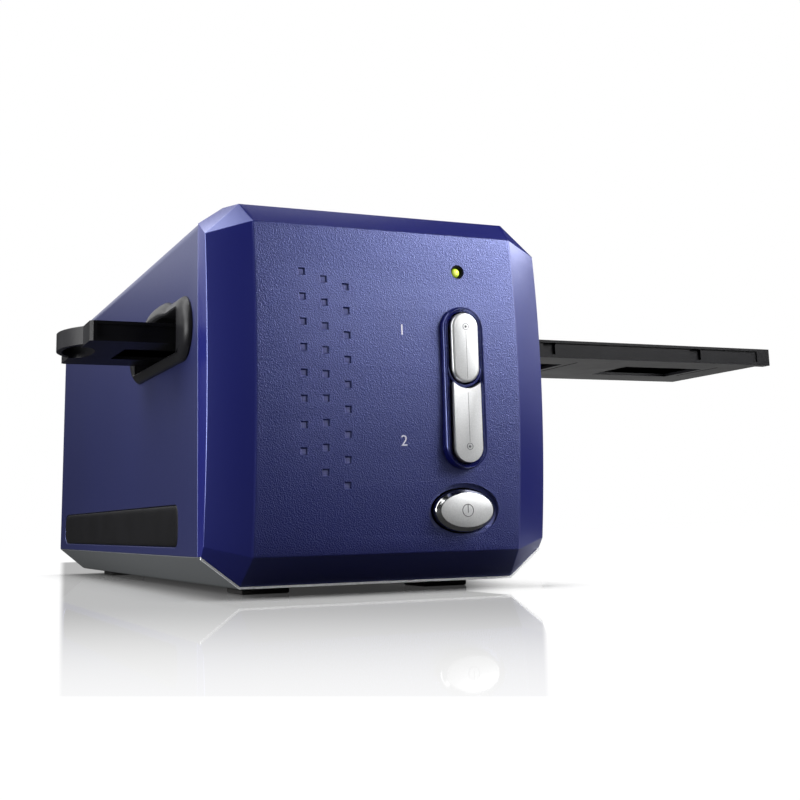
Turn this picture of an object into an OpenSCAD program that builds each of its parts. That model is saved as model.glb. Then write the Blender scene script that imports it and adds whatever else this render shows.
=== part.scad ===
// Desktop film scanner with a pass-through holder for four mounted slides.
// Millimetres. X runs to the right, Y away from the front panel, Z up from the table.
// Places are counted from the middle of the body, the most forward line of the panel
// and the table; place() then moves the whole to the centre of its own outline.

/* [Body] */
// Width of the body without the slot bezels
body_w = 114; // [110:1:124]
// Height of the top above the table
body_h = 119; // [116:1:126]
// Depth of the body at its top
body_d = 267; // [262:1:280]
// How much deeper the body is at its foot than at its top
rear_rake = 5; // [0:0.5:8]
// Wall of the blue cover and of the fascia
wall = 2.2; // [1.8:0.1:2.6]
// Width of the cover's top chamfers
chamfer_x = 7.9; // [6:0.1:10]
// Height of the cover's top chamfers
chamfer_z = 5.6; // [4:0.2:7]
// Gap at the seams of the fascia, the cover and the tray
seam_gap = 0.2; // [0.1:0.05:0.4]

/* [Base tray] */
// Height where the tray meets the cover
tray_top = 12.2; // [11.6:0.1:13]
// Width of the tray's lower chamfers
tray_chamfer = 11.6; // [10:0.2:13]
// Wall of the tray
tray_wall = 2.2; // [1.8:0.1:2.6]
// Place of the tray's front edge
tray_front = 13.8; // [13.4:0.1:14.4]
// How far the tray shows below the fascia
tray_lip = 0.7; // [0.4:0.1:1]
// Side of a square rubber foot
foot_side = 16; // [12:1:18]
// Height of a rubber foot
foot_h = 2.6; // [2:0.2:3]
// Distance of the feet's middle from the body's sides
foot_in = 25.7; // [23.7:0.5:28.7]
// Front face of the front feet
foot_front = 32; // [28:1:36]
// Distance of the rear feet's front face from the body's rear
foot_back = 30; // [25:1:42]

/* [Fascia] */
// Depth of the fascia, up to its seam with the cover
fascia_d = 17.5; // [16.5:0.5:19]
// Depth of the bevels around the panel
bevel_d = 7.4; // [6.5:0.1:8]
// Width of the bevels at the panel's sides
bevel_w = 13.1; // [12:0.1:15]
// Height of the panel's upper edge
panel_top = 111.85; // [110.5:0.05:112.5]
// Height of the panel's lower edge
panel_foot = 11.85; // [11:0.05:13]
// How much the panel bows back, per squared millimetre of height
bow = 0.0014; // [0.001:0.0001:0.0016]
// Height of the panel's most forward line
bow_z = 68.35; // [60:0.05:72]
// Distance of the upper corner facets down the side edge
facet_top_z = 10.5; // [9:0.1:12]
// Distance of the upper corner facets along the top edge
facet_top_x = 11.2; // [10:0.1:12.5]
// Distance of the lower corner facets up the side edge
facet_foot_z = 11.9; // [11:0.1:13]
// Side of a square dimple
dimple = 2.4; // [2:0.1:2.8]
// Depth of a dimple
dimple_d = 0.6; // [0.3:0.1:0.8]

/* [Controls] */
// Distance of the controls' middle line from the panel's right edge
control_in = 19.9; // [17.9:0.5:21.9]
// Width of the raised frame around the scan buttons
surround_w = 14.8; // [14:0.1:16]
// Lower end of that frame
surround_foot = 36.7; // [35:0.1:38]
// Upper end of that frame
surround_top = 88.1; // [86:0.1:90]
// How far that frame stands in front of the panel
surround_proud = 1.6; // [1:0.1:2]
// Width of the scan buttons
button_w = 9.4; // [8.6:0.1:9.8]
// Gap around a button
button_gap = 0.5; // [0.4:0.05:0.6]
// Height of the middle of the upper button's lower end
split_z = 68.4; // [66:0.1:70]
// Thickness of the divider between the buttons
divider_t = 0.9; // [0.7:0.1:1.2]
// How far a scan button stands in front of its frame
button_proud = 1; // [0.6:0.1:1.4]
// Travel of every button
button_travel = 0.8; // [0.5:0.1:1]
// Width of the power button
power_w = 20.8; // [19:0.1:22]
// Height of the power button
power_h = 13.2; // [12:0.1:14]
// Height of the power button's middle
power_z = 24.3; // [23:0.1:25.5]
// Width of the hollow around the power button, beyond the button
power_margin = 1.8; // [1.4:0.1:2.2]
// Height of the status light
led_z = 99.7; // [98:0.1:102]
// Diameter of the status light's hole
led_hole = 4.6; // [4:0.1:5]
// Diameter of the status light
led_d = 3; // [2.8:0.1:3.4]

/* [Film holder] */
// Distance between two slides
slide_pitch = 65; // [62:0.5:66]
// Number of slides
slide_count = 4; // [3:1:4]
// Width of the holder
holder_w = 56.5; // [55:0.5:58]
// Thickness of the holder
holder_t = 6.4; // [6:0.1:6.8]
// Height of the holder's underside
holder_z = 78.7; // [78:0.1:79.5]
// Place of the holder's middle, from the front
holder_y = 65.25; // [64:0.25:67]
// Place of the slide that is in the scanner
slide_x = 14.2; // [10:0.2:18]
// Slides to the left of that one
slides_left = 1; // [1:1:1]
// Plain length of the holder at its left end, beyond the last slide's middle
end_left = 35.2; // [33:0.2:38]
// Plain length of the holder at its right end, beyond the last slide's middle
end_right = 31.3; // [30:0.2:34]
// How far the near rail runs past the right end
rail_extra = 4; // [2:0.5:6]
// Length of a slide window
window_l = 36; // [34:0.5:37]
// Height of a slide window
window_w = 24; // [22:0.5:25]
// Width of the frame let in round each slide window
window_rim = 5; // [3.5:0.5:5.5]
// How far the windows lie left of their notches
window_shift = 3; // [0:0.5:4]
// Side of a slide mount's pocket
pocket = 50.8; // [50.4:0.1:51.4]
// Height of a slide mount's pocket
pocket_h = 2.4; // [2:0.1:2.6]
// Reach of the finger loop
loop_reach = 5.7; // [5:0.1:7]
// Width of the finger loop
loop_w = 32; // [30:1:36]

/* [Film tunnel] */
// Gap between the holder and the tunnel
slide_gap = 0.3; // [0.2:0.05:0.4]
// How far the slot bezels stand out of the body
bezel_proud = 3; // [2.4:0.1:3.4]
// Height of a slot bezel
bezel_h = 20.8; // [19.6:0.2:22]
// Length of a slot bezel
bezel_l = 83.5; // [82:0.5:86]
// Height of a bezel's mouth
mouth_h = 13.6; // [12.6:0.2:14.2]
// Length of a bezel's mouth
mouth_l = 62; // [61:0.5:64]
// Height of the mouths' middle
mouth_z = 82.4; // [82:0.1:82.8]
// Height of the bezels' middle
bezel_z = 83; // [82.4:0.1:83.4]
// Depth of a bezel's neck inside the body
neck_d = 6; // [5:0.5:7]
// Gap between the tunnel's ends and the bezels' necks
tunnel_end = 0.5; // [0.3:0.1:2]
// Side of a tunnel post
post = 6.5; // [5:0.5:6.5]

/* [Scan unit] */
// Travel of the scan unit to each side
scan_travel = 18; // [15:0.5:18]
// Width of the scan unit
unit_w = 26; // [25:0.5:26]
// Front of the scan unit
unit_front = 50; // [48:1:52]
// Distance of the scan unit's rear from the body's rear
unit_back = 45; // [43:1:49]
// Height of the scan unit's floor
unit_z = 30; // [29.5:0.5:31]
// Height of the lens axis
lens_z = 52; // [50:0.5:54]
// Diameter of the guide rod
rod_d = 6; // [5:0.5:7]
// Place of the guide rod
rod_y = 118; // [116:1:120]
// Height of the guide rod's axis
rod_z = 23; // [22:0.5:24]
// Distance of the flat guide rail from the body's rear
rail_back = 62; // [59:1:67]
// Gap between a shaft and its bore, on the radius
run_gap = 0.05; // [0.03:0.01:0.08]

/* [Drive] */
// Distance of the motor's axis from the body's left side
motor_in = 20; // [20:0.5:21]
// How far the motor stands behind the middle between rod and rail
motor_shift = 3.5; // [2.5:0.5:6.5]
// Diameter of the motor
motor_d = 27; // [25:0.5:27]
// Height of the motor's can
motor_h = 18; // [15:1:20]
// Module of the gears
gear_m = 0.6; // [0.55:0.05:0.6]
// Teeth of the pinion
pinion_teeth = 14; // [14:1:14]
// Teeth of the reduction gear
gear_teeth = 42; // [42:1:42]
// Play between the gears' teeth
backlash = 0.16; // [0.12:0.02:0.2]
// Radius of the belt pulleys
pulley_r = 5; // [4.5:0.1:5.5]
// Thickness of the belt
belt_t = 1; // [0.8:0.1:1.2]
// Width of the belt
belt_w = 4.4; // [4:0.2:5]
// Distance of the idler pulley's axis from the body's right side
idler_in = 12; // [11:0.5:13]

/* [Electronics] */
// Thickness of the circuit boards
board_t = 1.6; // [1.2:0.2:1.6]
// Distance of the main board's edges from the body's sides
board_in = 21; // [20:1:23]
// Distance of the main board's front edge from the body's rear
board_back = 41; // [39:1:42]
// Height of the main board's underside
board_z = 12; // [11:0.5:13]
// Place of the data socket
usb_x = -14; // [-20:1:-10]
// Place of the power socket
jack_x = 14; // [10:1:20]

/* [Hidden] */
$fn = 48;
eps = 0.01;
touch = 0.05;
half = body_w / 2;
base_z = foot_h;
panel_x = half - bevel_w;
control_x = panel_x - control_in;
foot_x = half - foot_in;
foot_rear = body_d - foot_back;
gate_x = slide_x - window_shift;
unit_rear = body_d - unit_back;
rail_y = body_d - rail_back;
motor_x = motor_in - half;
motor_y = (rod_y + rail_y) / 2 + motor_shift;
idler_x = half - idler_in;
board_x = half - board_in;
board_front = body_d - board_back;
tunnel_x = half - neck_d - tunnel_end;
rim_foot = base_z + tray_lip;
tray_x = half - tray_chamfer;
inner_x = half - wall;
floor_z = base_z + tray_wall;
mid_z = (body_h + rim_foot) / 2;
holder_top = holder_z + holder_t;
holder_near = holder_y - holder_w / 2;
holder_far = holder_y + holder_w / 2;
first_x = slide_x - slides_left * slide_pitch;
last_x = first_x + (slide_count - 1) * slide_pitch;
holder_left = first_x - end_left;
holder_right = last_x + end_right;
loop_left = holder_left - loop_reach;
loop_r = (pow(loop_w / 2, 2) + pow(loop_reach, 2)) / (2 * loop_reach);
cover_split = holder_z + holder_t * 0.54;
tunnel_low = holder_z - slide_gap;
tunnel_high = holder_top + slide_gap;
tunnel_near = holder_near - slide_gap;
tunnel_far = holder_far + slide_gap;
guide_t = 3.3;
plate_t = 2.6;
gate_l = window_l + 4;
gate_w = window_w + 4;
rod_r = rod_d / 2;
bush_r = rod_r + 1.1;
gear_y = motor_y - gear_m * (pinion_teeth + gear_teeth) / 2;
belt_in = pulley_r + 0.1;
belt_near = gear_y - belt_in - belt_t / 2;
deck_z = 9;
deck_t = 2;
pulley_z = deck_z + deck_t + 2.5;
gear_z = pulley_z + belt_w + 3.1;
gear_t = 3;
pin_r = 1.5;
shaft_r = 1;
boss_can_r = 4;
bracket_t = 2;
mount_z = gear_z + gear_t + 4;
shaft_in = 9;
cheek_x = half - 11;
cheek_t = 3;
rail_t = 4;
stem_d = 4;
stem_gap = 0.1;
flange_y = 3.7;
flange_t = 1.2;
flange_h = 19;
carrier_y = 9;
carrier_t = 1.5;
carrier_left = 20;
carrier_half = 13;
carrier_foot = 13.5;
carrier_head = 10.5;
screw_edge = 3.5;
spacer_in = 3;
spacer_r = 2;
stem_end = carrier_y + carrier_t;
plunger_h = 0.8;
switch_y = stem_end + button_travel + stem_gap + plunger_h;
switch_t = 3.2;
switch_w = 6;
led_board_y = switch_y + switch_t;
power_flange = 1.5;
power_back = bow_at(power_z - power_h / 2 - power_flange - 2) + wall + 0.3;
scan_front = -surround_proud - button_proud;
split_r = button_w / 2 + button_gap;
upper_top = surround_top - (surround_w - button_w) / 2 + button_gap;
lower_foot = surround_foot + (surround_w - button_w) / 2 - button_gap;
power_y = bow * pow(power_z - bow_z, 2);
power_front = power_y - 2.6;
screw_r = 1.5;
head_r = 2.9;
head_h = 1.8;
screw_hole = screw_r + touch;
case_x = half - 15.5;
case_front = fascia_d + 8.5;
case_rear = body_d - 9;
usb_w = 12;
socket_h = 11;
usb_l = 17;
jack_w = 10;
jack_l = 14;
rear_screw_x = half - 9;
rear_screw_z = body_h - 14;
boss_r = 3.6;
boss_h = 22;
boss_deep = 14;
rib_t = 2.4;
// Outline of the whole part, for the origin
total_left = loop_left;
total_right = holder_right + rail_extra;
total_front = scan_front;
total_rear = rear_at(base_z);
middle = [(total_left + total_right) / 2, (total_front + total_rear) / 2];

// ---- shared helpers ----

// How far the panel lies behind its most forward line at height z
function bow_at(z) = bow * pow(z - bow_z, 2);
// Rear of the body at height z
function rear_at(z) = body_d + rear_rake * (body_h - z) / (body_h - base_z);
function slide_at(i) = first_x + i * slide_pitch;

module place() translate([-middle[0], -middle[1], 0]) children();
module both_sides() for (s = [-1, 1]) scale([s, 1, 1]) children();

// A box from one corner to the other
module block(low, high) translate(low) cube(high - low);

// A straight rod along X, Y or Z from a point
module rod_along_x(x, y, z, r, l) translate([x, y, z]) rotate([0, 90, 0]) cylinder(r = r, h = l);
module rod_along_y(x, y, z, r, l) translate([x, y, z]) rotate([-90, 0, 0]) cylinder(r = r, h = l);
module rod_along_z(x, y, z, r, l) translate([x, y, z]) cylinder(r = r, h = l);

// A flat shape drawn in X and Z, from y to y + l
module along_y(y, l) translate([0, y + l, 0]) rotate([90, 0, 0]) linear_extrude(l) children();
// A flat shape drawn in Y and Z, from x to x + l
module along_x(x, l) translate([x, 0, 0]) rotate([90, 0, 90]) linear_extrude(l) children();

// An upright pill between two heights
module pill(w, z0, z1) {
    r = w / 2;
    for (z = [z0 + r, z1 - r]) translate([0, z]) circle(r);
    translate([-r, z0 + r]) square([w, z1 - z0 - w]);
}
// A level pill between two places
module long_pill(h, y0, y1, z) translate([0, z]) rotate(90) scale([1, -1]) pill(h, y0, y1);

module oval(w, h) polygon([for (a = [0 : 6 : 354]) [w / 2 * cos(a), h / 2 * sin(a)]]);

// ---- the front ----

// One half of the fascia's corner points, in the order front panel, rim, seam
function fascia_side(s) = concat(
    [for (i = [0 : 8]) let (z = panel_foot + (panel_top - panel_foot) * i / 8)
        [s * panel_x, bow_at(z), z]],
    [for (i = [0 : 8]) let (z = rim_foot + facet_foot_z
                            + (body_h - facet_top_z - rim_foot - facet_foot_z) * i / 8)
        [s * half, bevel_d + bow_at(z), z]],
    [[s * (half - facet_top_x), bevel_d + bow_at(body_h), body_h],
     [s * (half - chamfer_x), fascia_d, body_h],
     [s * half, fascia_d, body_h - chamfer_z],
     [s * half, fascia_d, tray_top],
     [s * half, tray_front, tray_top],
     [s * tray_x, bevel_d + bow_at(rim_foot), rim_foot],
     [s * tray_x, fascia_d, rim_foot]]);

// The same points drawn in by a wall, for the hollow
function drawn_in(p, t) = [p[0] * (half - t) / half, p[1] + t,
                           mid_z + (p[2] - mid_z) * (body_h - mid_z - t) / (body_h - mid_z)];

module point_hull(pts) hull() polyhedron(pts, [[for (i = [0 : len(pts) - 1]) i]]);

module fascia_solid() point_hull(concat(fascia_side(-1), fascia_side(1)));
module fascia_hollow() point_hull([for (p = concat(fascia_side(-1), fascia_side(1)))
                                   drawn_in(p, wall)]);

module button_opening() difference() {
    pill(button_w + 2 * button_gap, lower_foot - button_gap, upper_top + button_gap);
    intersection() {
        translate([0, split_z]) difference() {
            circle(split_r + divider_t);
            circle(split_r);
        }
        translate([-half, 0]) square([body_w, split_z]);
    }
}

// Places of the screws that hold the button carrier
carrier_screws = [[control_x - carrier_left + screw_edge, carrier_foot + screw_edge + 1],
                  [control_x, led_z + carrier_head - screw_edge]];

// Dimple columns: place, height of the top dimple, pitch, count
dimple_columns = [[-29.2, 96.75, 7.78, 8], [-22.2, 94.7, 7.33, 9], [-15.1, 92.6, 7.55, 9]];

module front_fascia() color([0.13, 0.13, 0.36]) {
    difference() {
        union() {
            difference() {
                fascia_solid();
                fascia_hollow();
                block([-half - 1, tray_front, 0], [half + 1, fascia_d + 1, tray_top + seam_gap]);
            }
            translate([control_x, 0, 0])
                along_y(-surround_proud, surround_proud + wall + 0.4)
                    pill(surround_w, surround_foot, surround_top);
            // Posts that carry the button carrier
            for (s = carrier_screws) rod_along_y(s[0], bow_at(s[1]) + wall / 2, s[1], 2.6,
                                                 carrier_y - bow_at(s[1]) - wall / 2);
        }
        translate([control_x, 0, 0]) along_y(-5, 12) button_opening();
        translate([control_x, 0, power_z]) {
            along_y(-5, 5 + power_y + 1) oval(power_w + 2 * power_margin,
                                              power_h + 2 * power_margin);
            along_y(-5, 15) oval(power_w + 2 * button_gap, power_h + 2 * button_gap);
        }
        rod_along_y(control_x, -5, led_z, led_hole / 2, 12);
        for (c = dimple_columns, i = [0 : c[3] - 1]) let (z = c[1] - c[2] * i)
            block([c[0] - dimple / 2, -5, z - dimple / 2],
                  [c[0] + dimple / 2, bow_at(z) + dimple_d, z + dimple / 2]);
        for (s = carrier_screws) rod_along_y(s[0], bow_at(s[1]) + wall, s[1], screw_hole, 12);
    }
}

// A scan button's back: a flange around height z, and a stem at height stem_z
module button_back(z, stem_z) {
    block([control_x - button_w / 2 - 1, flange_y, z - flange_h / 2],
          [control_x + button_w / 2 + 1, flange_y + flange_t, z + flange_h / 2]);
    rod_along_y(control_x, flange_y, stem_z, stem_d / 2, stem_end - flange_y);
}

module upper_scan_button() color([0.78, 0.79, 0.8]) {
    translate([control_x, 0, 0]) along_y(scan_front, flange_y - scan_front)
        pill(button_w, split_z - button_w / 2, upper_top);
    mid = (split_z + upper_top) / 2;
    button_back(mid - 2, mid);
}

module lower_scan_button() color([0.78, 0.79, 0.8]) {
    mid = (lower_foot + split_z - split_r) / 2;
    translate([control_x, 0, 0]) along_y(scan_front, flange_y - scan_front) difference() {
        pill(button_w, lower_foot, split_z);
        translate([0, split_z]) circle(split_r + divider_t + button_gap);
    }
    button_back(mid, mid);
}

module power_button() color([0.78, 0.79, 0.8]) {
    translate([control_x, 0, power_z]) {
        along_y(power_front, 1.2) oval(power_w - 2, power_h - 2);
        along_y(power_front + 1.2, power_back - power_front - 1.2) oval(power_w, power_h);
        along_y(power_back, 1) oval(power_w + 2 * power_flange, power_h + 2 * power_flange);
    }
    rod_along_y(control_x, power_back, power_z, stem_d / 2, stem_end - power_back);
}

stem_heights = [(split_z + upper_top) / 2, (lower_foot + split_z - split_r) / 2, power_z];

module button_carrier() color([0.12, 0.12, 0.13]) difference() {
    union() {
        block([control_x - carrier_left, carrier_y, carrier_foot],
              [control_x + carrier_half, stem_end, led_z + carrier_head]);
        for (x = [spacer_in - carrier_half, carrier_half - spacer_in],
             z = [carrier_foot + spacer_in, led_z + spacer_in])
            rod_along_y(control_x + x, carrier_y, z, spacer_r, led_board_y - carrier_y);
    }
    for (z = stem_heights) rod_along_y(control_x, 0, z, stem_d / 2 + run_gap, 20);
    rod_along_y(control_x, 0, led_z, led_d / 2 + 0.6, 20);
    for (s = carrier_screws) rod_along_y(s[0], 0, s[1], screw_hole, 20);
}

module button_board() color([0.05, 0.3, 0.15])
    block([control_x - carrier_half, led_board_y, carrier_foot],
          [control_x + carrier_half, led_board_y + board_t, led_z + 2 * spacer_in]);

module tact_switches() color([0.1, 0.1, 0.1]) for (z = stem_heights) {
    block([control_x - switch_w / 2, led_board_y - switch_t, z - switch_w / 2],
          [control_x + switch_w / 2, led_board_y, z + switch_w / 2]);
    rod_along_y(control_x, led_board_y - switch_t - plunger_h, z, switch_w / 4, plunger_h);
}

led_y = bow_at(led_z) + 2;

module status_led() color([0.75, 0.85, 0.1]) {
    rod_along_y(control_x, led_y, led_z, led_d / 2, led_board_y - led_y);
    translate([control_x, led_y, led_z]) sphere(d = led_d);
}

// ---- the shell ----

// Section of the cover, open below, at a distance t inside its outer face
module cover_section(t) {
    k = t * 0.55;
    polygon([[-half + t, tray_top], [-half + t, body_h - chamfer_z - k],
             [-half + chamfer_x + k, body_h - t], [half - chamfer_x - k, body_h - t],
             [half - t, body_h - chamfer_z - k], [half - t, tray_top]]);
}
// Section of the tray, t inside its outer face
module tray_section(t)
    polygon([[-half + t * 1.3, tray_top], [-tray_x + t * 0.35, base_z + t],
             [tray_x - t * 0.35, base_z + t], [half - t * 1.3, tray_top]]);
// Everything in front of the raked rear face, moved forward by t
module before_rear(t) along_x(-half - 5, body_w + 10)
    polygon([[0, 0], [rear_at(0) - t, 0], [rear_at(body_h + 5) - t, body_h + 5], [0, body_h + 5]]);

bezel_y0 = holder_y - bezel_l / 2;
bezel_y1 = holder_y + bezel_l / 2;
neck_h = bezel_h - 3;
neck_y0 = bezel_y0 + 8;
neck_y1 = bezel_y1 - 8;
inlay_y0 = 41.5;
inlay_y1 = body_d - 9;
inlay_z = 21.5;
inlay_h = 13;
inlay_d = 1.2;

module main_housing() color([0.2, 0.2, 0.42]) difference() {
    union() {
        intersection() {
            along_y(fascia_d + seam_gap, body_d + rear_rake - fascia_d) difference() {
                cover_section(0);
                translate([0, -eps]) cover_section(wall);
            }
            before_rear(0);
        }
        both_sides() {
            // Posts for the screws that come up through the tray
            for (y = [case_front, case_rear]) {
                rod_along_z(case_x, y, tray_top, boss_r, boss_h);
                block([case_x, y - rib_t / 2, tray_top],
                      [inner_x + wall / 4, y + rib_t / 2, tray_top + boss_h]);
            }
            // Bosses for the rear panel
            intersection() {
                rod_along_y(rear_screw_x, body_d - boss_deep - 2, rear_screw_z, boss_r, 20);
                before_rear(rear_in + rear_t + 0.1);
            }
            block([rear_screw_x, body_d - boss_deep - 1, rear_screw_z - 1],
                  [half - wall / 2, body_d - 5, rear_screw_z + 1]);
        }
    }
    // Slots for the bezels' necks
    along_x(-half - 1, body_w + 2)
        long_pill(neck_h + 2 * touch, neck_y0 - touch, neck_y1 + touch, bezel_z);
    both_sides() {
        along_x(half - inlay_d - touch, inlay_d + 1)
            long_pill(inlay_h + 2 * touch, inlay_y0 - touch, inlay_y1 + touch, inlay_z);
        for (y = [case_front, case_rear]) rod_along_z(case_x, y, 0, screw_hole,
                                                            tray_top + boss_deep);
        rod_along_y(rear_screw_x, body_d - boss_deep, rear_screw_z, screw_hole, 30);
    }
}

module base_tray() color([0.42, 0.43, 0.46]) difference() {
    union() {
        intersection() {
            along_y(tray_front + seam_gap, body_d + rear_rake - tray_front) difference() {
                tray_section(0);
                translate([0, eps]) tray_section(tray_wall);
            }
            before_rear(0);
        }
        // Front wall behind the fascia
        intersection() {
            along_y(tray_front + seam_gap, tray_wall) tray_section(0);
            before_rear(0);
        }
        both_sides() {
            for (y = [case_front, case_rear])
                rod_along_z(case_x, y, base_z + 1, boss_r, tray_top - base_z - 1);
            // Bosses for the scan frame, the tunnel and the main board
            for (y = frame_bolts) rod_along_z(frame_bolt_x, y, base_z + 1, 4,
                                              deck_z - base_z - 1);
            for (y = board_bolts) rod_along_z(board_x - 4, y, base_z + 1, 3,
                                              board_z - base_z - 1);
            for (y = [post_near, post_far])
                intersection() {
                    block([tunnel_x - post, y, base_z + 1], [tunnel_x, y + post, pad_z]);
                    along_y(0, body_d) tray_section(0);
                }
        }
    }
    both_sides() {
        for (y = [case_front, case_rear]) {
            rod_along_z(case_x, y, 0, screw_hole, 40);
            rod_along_z(case_x, y, 0, head_r + 0.2, base_z + head_h + 0.2);
        }
        for (y = frame_bolts) rod_along_z(frame_bolt_x, y, floor_z, screw_hole, 20);
        for (y = board_bolts) rod_along_z(board_x - 4, y, floor_z, screw_hole, 20);
    }
}

frame_bolt_x = half - 27;
frame_bolts = [rod_y - 4.5, rail_y + 4.5];
pad_z = 10.2;
bracket_bolt = [motor_x - 6, motor_y + 9];
board_bolts = [board_front + 4, board_front + 30];
post_near = holder_near - slide_gap - guide_t;
post_far = holder_far + slide_gap + guide_t - post;

rear_t = 2.5;
rear_in = 1;
rear_fit = 0.15;
socket_fit = 0.2;
past_rear = body_d + rear_rake + 10;

// The inside of the cover and the tray, drawn in by a gap
module rear_section(gap) {
    t = wall + gap;
    f = tray_wall + gap;
    k = t * 0.55;
    side = [[tray_x - f * 0.35, base_z + f], [half - f * 1.3, tray_top], [half - t, tray_top],
            [half - t, body_h - chamfer_z - k], [half - chamfer_x - k, body_h - t]];
    polygon(concat(side, [for (i = [len(side) - 1 : -1 : 0]) [-side[i][0], side[i][1]]]));
}

// Cut-out in the rear panel for a socket
module socket_cut(x, w) block([x - w / 2 - socket_fit, board_front, board_z + board_t - socket_fit],
                              [x + w / 2 + socket_fit, past_rear,
                               board_z + board_t + socket_h + socket_fit]);

module rear_panel() color([0.13, 0.13, 0.15]) difference() {
    intersection() {
        along_y(body_d - 10, 30) rear_section(rear_fit);
        difference() {
            before_rear(rear_in);
            before_rear(rear_in + rear_t);
        }
    }
    socket_cut(usb_x, usb_w);
    socket_cut(jack_x, jack_w);
    both_sides() rod_along_y(rear_screw_x, board_front, rear_screw_z, screw_hole,
                             past_rear - board_front);
}

// Slot bezel: a crowned frame outside, a neck through the wall, and a flared mouth
module bezel(s) color([0.1, 0.1, 0.11]) scale([s, 1, 1]) difference() {
    union() {
        intersection() {
            along_x(half + touch, bezel_proud) long_pill(bezel_h, bezel_y0, bezel_y1, bezel_z);
            union() {
                along_x(half, bezel_proud * 0.45)
                    long_pill(bezel_h, bezel_y0, bezel_y1, bezel_z);
                along_x(half, bezel_proud * 0.8)
                    long_pill(bezel_h - 1.6, bezel_y0 + 2.5, bezel_y1 - 2.5, bezel_z);
                along_x(half, bezel_proud + 1)
                    long_pill(bezel_h - 4, bezel_y0 + 5, bezel_y1 - 5, bezel_z);
            }
        }
        along_x(half - neck_d, neck_d + 1) long_pill(neck_h, neck_y0, neck_y1, bezel_z);
        block([half + touch, holder_y - 15, bezel_z + bezel_h / 2 - 3],
              [half + bezel_proud, holder_y + 15, bezel_z + bezel_h / 2 + 2]);
    }
    // Throat for the holder, and the flared mouth
    block([0, tunnel_near, tunnel_low], [half + 10, tunnel_far, tunnel_high]);
    hull() {
        block([half + bezel_proud, holder_y - mouth_l / 2, mouth_z - mouth_h / 2],
              [half + bezel_proud + 1, holder_y + mouth_l / 2, mouth_z + mouth_h / 2]);
        block([half - neck_d + 1.5, tunnel_near, tunnel_low],
              [half - neck_d + 2, tunnel_far, tunnel_high]);
    }
}
module slot_bezel_left() bezel(-1);
module slot_bezel_right() bezel(1);

module inlay(s) color([0.08, 0.08, 0.09]) scale([s, 1, 1])
    along_x(half - inlay_d, inlay_d + 0.3) long_pill(inlay_h, inlay_y0, inlay_y1, inlay_z);
module side_inlay_left() inlay(-1);
module side_inlay_right() inlay(1);

module rubber_feet() color([0.05, 0.05, 0.05]) both_sides() for (y = [foot_front, foot_rear])
    block([foot_x - foot_side / 2, y, 0], [foot_x + foot_side / 2, y + foot_side, foot_h]);

// ---- the film holder ----

module holder_outline() difference() {
    union() {
        translate([holder_left, holder_near])
            square([holder_right - holder_left, holder_w]);
        translate([holder_left, holder_near])
            square([holder_right + rail_extra - holder_left, 4]);
    }
    // Corners of the left end
    for (y = [holder_near, holder_far]) translate([holder_left, y]) rotate(45)
        square(1.4, center = true);
}
module loop_outline() intersection() {
    translate([loop_left + loop_r, holder_y]) circle(r = loop_r, $fn = 96);
    translate([loop_left - 1, holder_y - loop_w / 2])
        square([loop_reach + 12, loop_w]);
}
module finger_hole() translate([holder_left + 1.2, holder_y]) oval(10, 25.6);

module side_grooves(z0, z1) {
    for (y = [holder_near, holder_far])
        block([holder_left + 2.2, y - 0.5, z0], [holder_right - 2, y + 0.5, z1]);
    for (i = [0 : slide_count - 1])
        block([slide_at(i) - 2.5, holder_near - 1, z0], [slide_at(i) + 2.5, holder_near + 1.6, z1]);
}

// A block at each slide window, wider by a margin all round
module windows(margin = 0, z0 = holder_z - 5, z1 = holder_top + 5)
    for (i = [0 : slide_count - 1]) let (x = slide_at(i) - window_shift)
        block([x - window_l / 2 - margin, holder_y - window_w / 2 - margin, z0],
              [x + window_l / 2 + margin, holder_y + window_w / 2 + margin, z1]);

// Height of the finger loop's underside above the holder's
loop_lift = 0.6;

module holder_base() color([0.09, 0.09, 0.1]) difference() {
    union() {
        translate([0, 0, holder_z]) linear_extrude(cover_split - holder_z) holder_outline();
        translate([0, 0, holder_z + loop_lift])
            linear_extrude(cover_split - holder_z - loop_lift) loop_outline();
    }
    windows();
    translate([0, 0, holder_z - 1]) linear_extrude(20) finger_hole();
    side_grooves(holder_z + 1.2, cover_split + 1);
    for (i = [0 : slide_count - 1]) let (x = slide_at(i) - window_shift) {
        // Pocket for a slide mount, open at the far side
        block([x - pocket / 2, holder_near + 2.8, cover_split - pocket_h],
              [x + pocket / 2, holder_far + 1, cover_split + 1]);
        // Slit that frees a holding tongue
        block([x + window_l / 2 + 2.6, holder_y - 18, holder_z - 1],
              [x + window_l / 2 + 3.4, holder_y + 8, holder_top]);
    }
}

module holder_cover() color([0.1, 0.1, 0.11]) difference() {
    translate([0, 0, cover_split]) linear_extrude(holder_top - cover_split) {
        holder_outline();
        loop_outline();
    }
    windows(window_rim + touch);
    translate([0, 0, holder_z - 1]) linear_extrude(20) finger_hole();
    side_grooves(cover_split - 1, holder_top - 1);
}

// Masks let into the cover, which lie on the slides' mounts
module window_frames() color([0.13, 0.13, 0.14]) difference() {
    windows(window_rim, cover_split, holder_top);
    windows();
}

// A bent leaf in each pocket that presses the mount down
module slide_clips() color([0.6, 0.6, 0.62]) for (i = [0 : slide_count - 1])
    let (x = slide_at(i) - window_shift)
        block([x - pocket / 2 + 1, holder_near + 4, cover_split - 0.3],
              [x - pocket / 2 + 5.5, holder_far - 8, cover_split]);

// ---- the film tunnel ----

module gate(z0, z1) block([gate_x - gate_l / 2, holder_y - gate_w / 2, z0],
                          [gate_x + gate_l / 2, holder_y + gate_w / 2, z1]);

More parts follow.
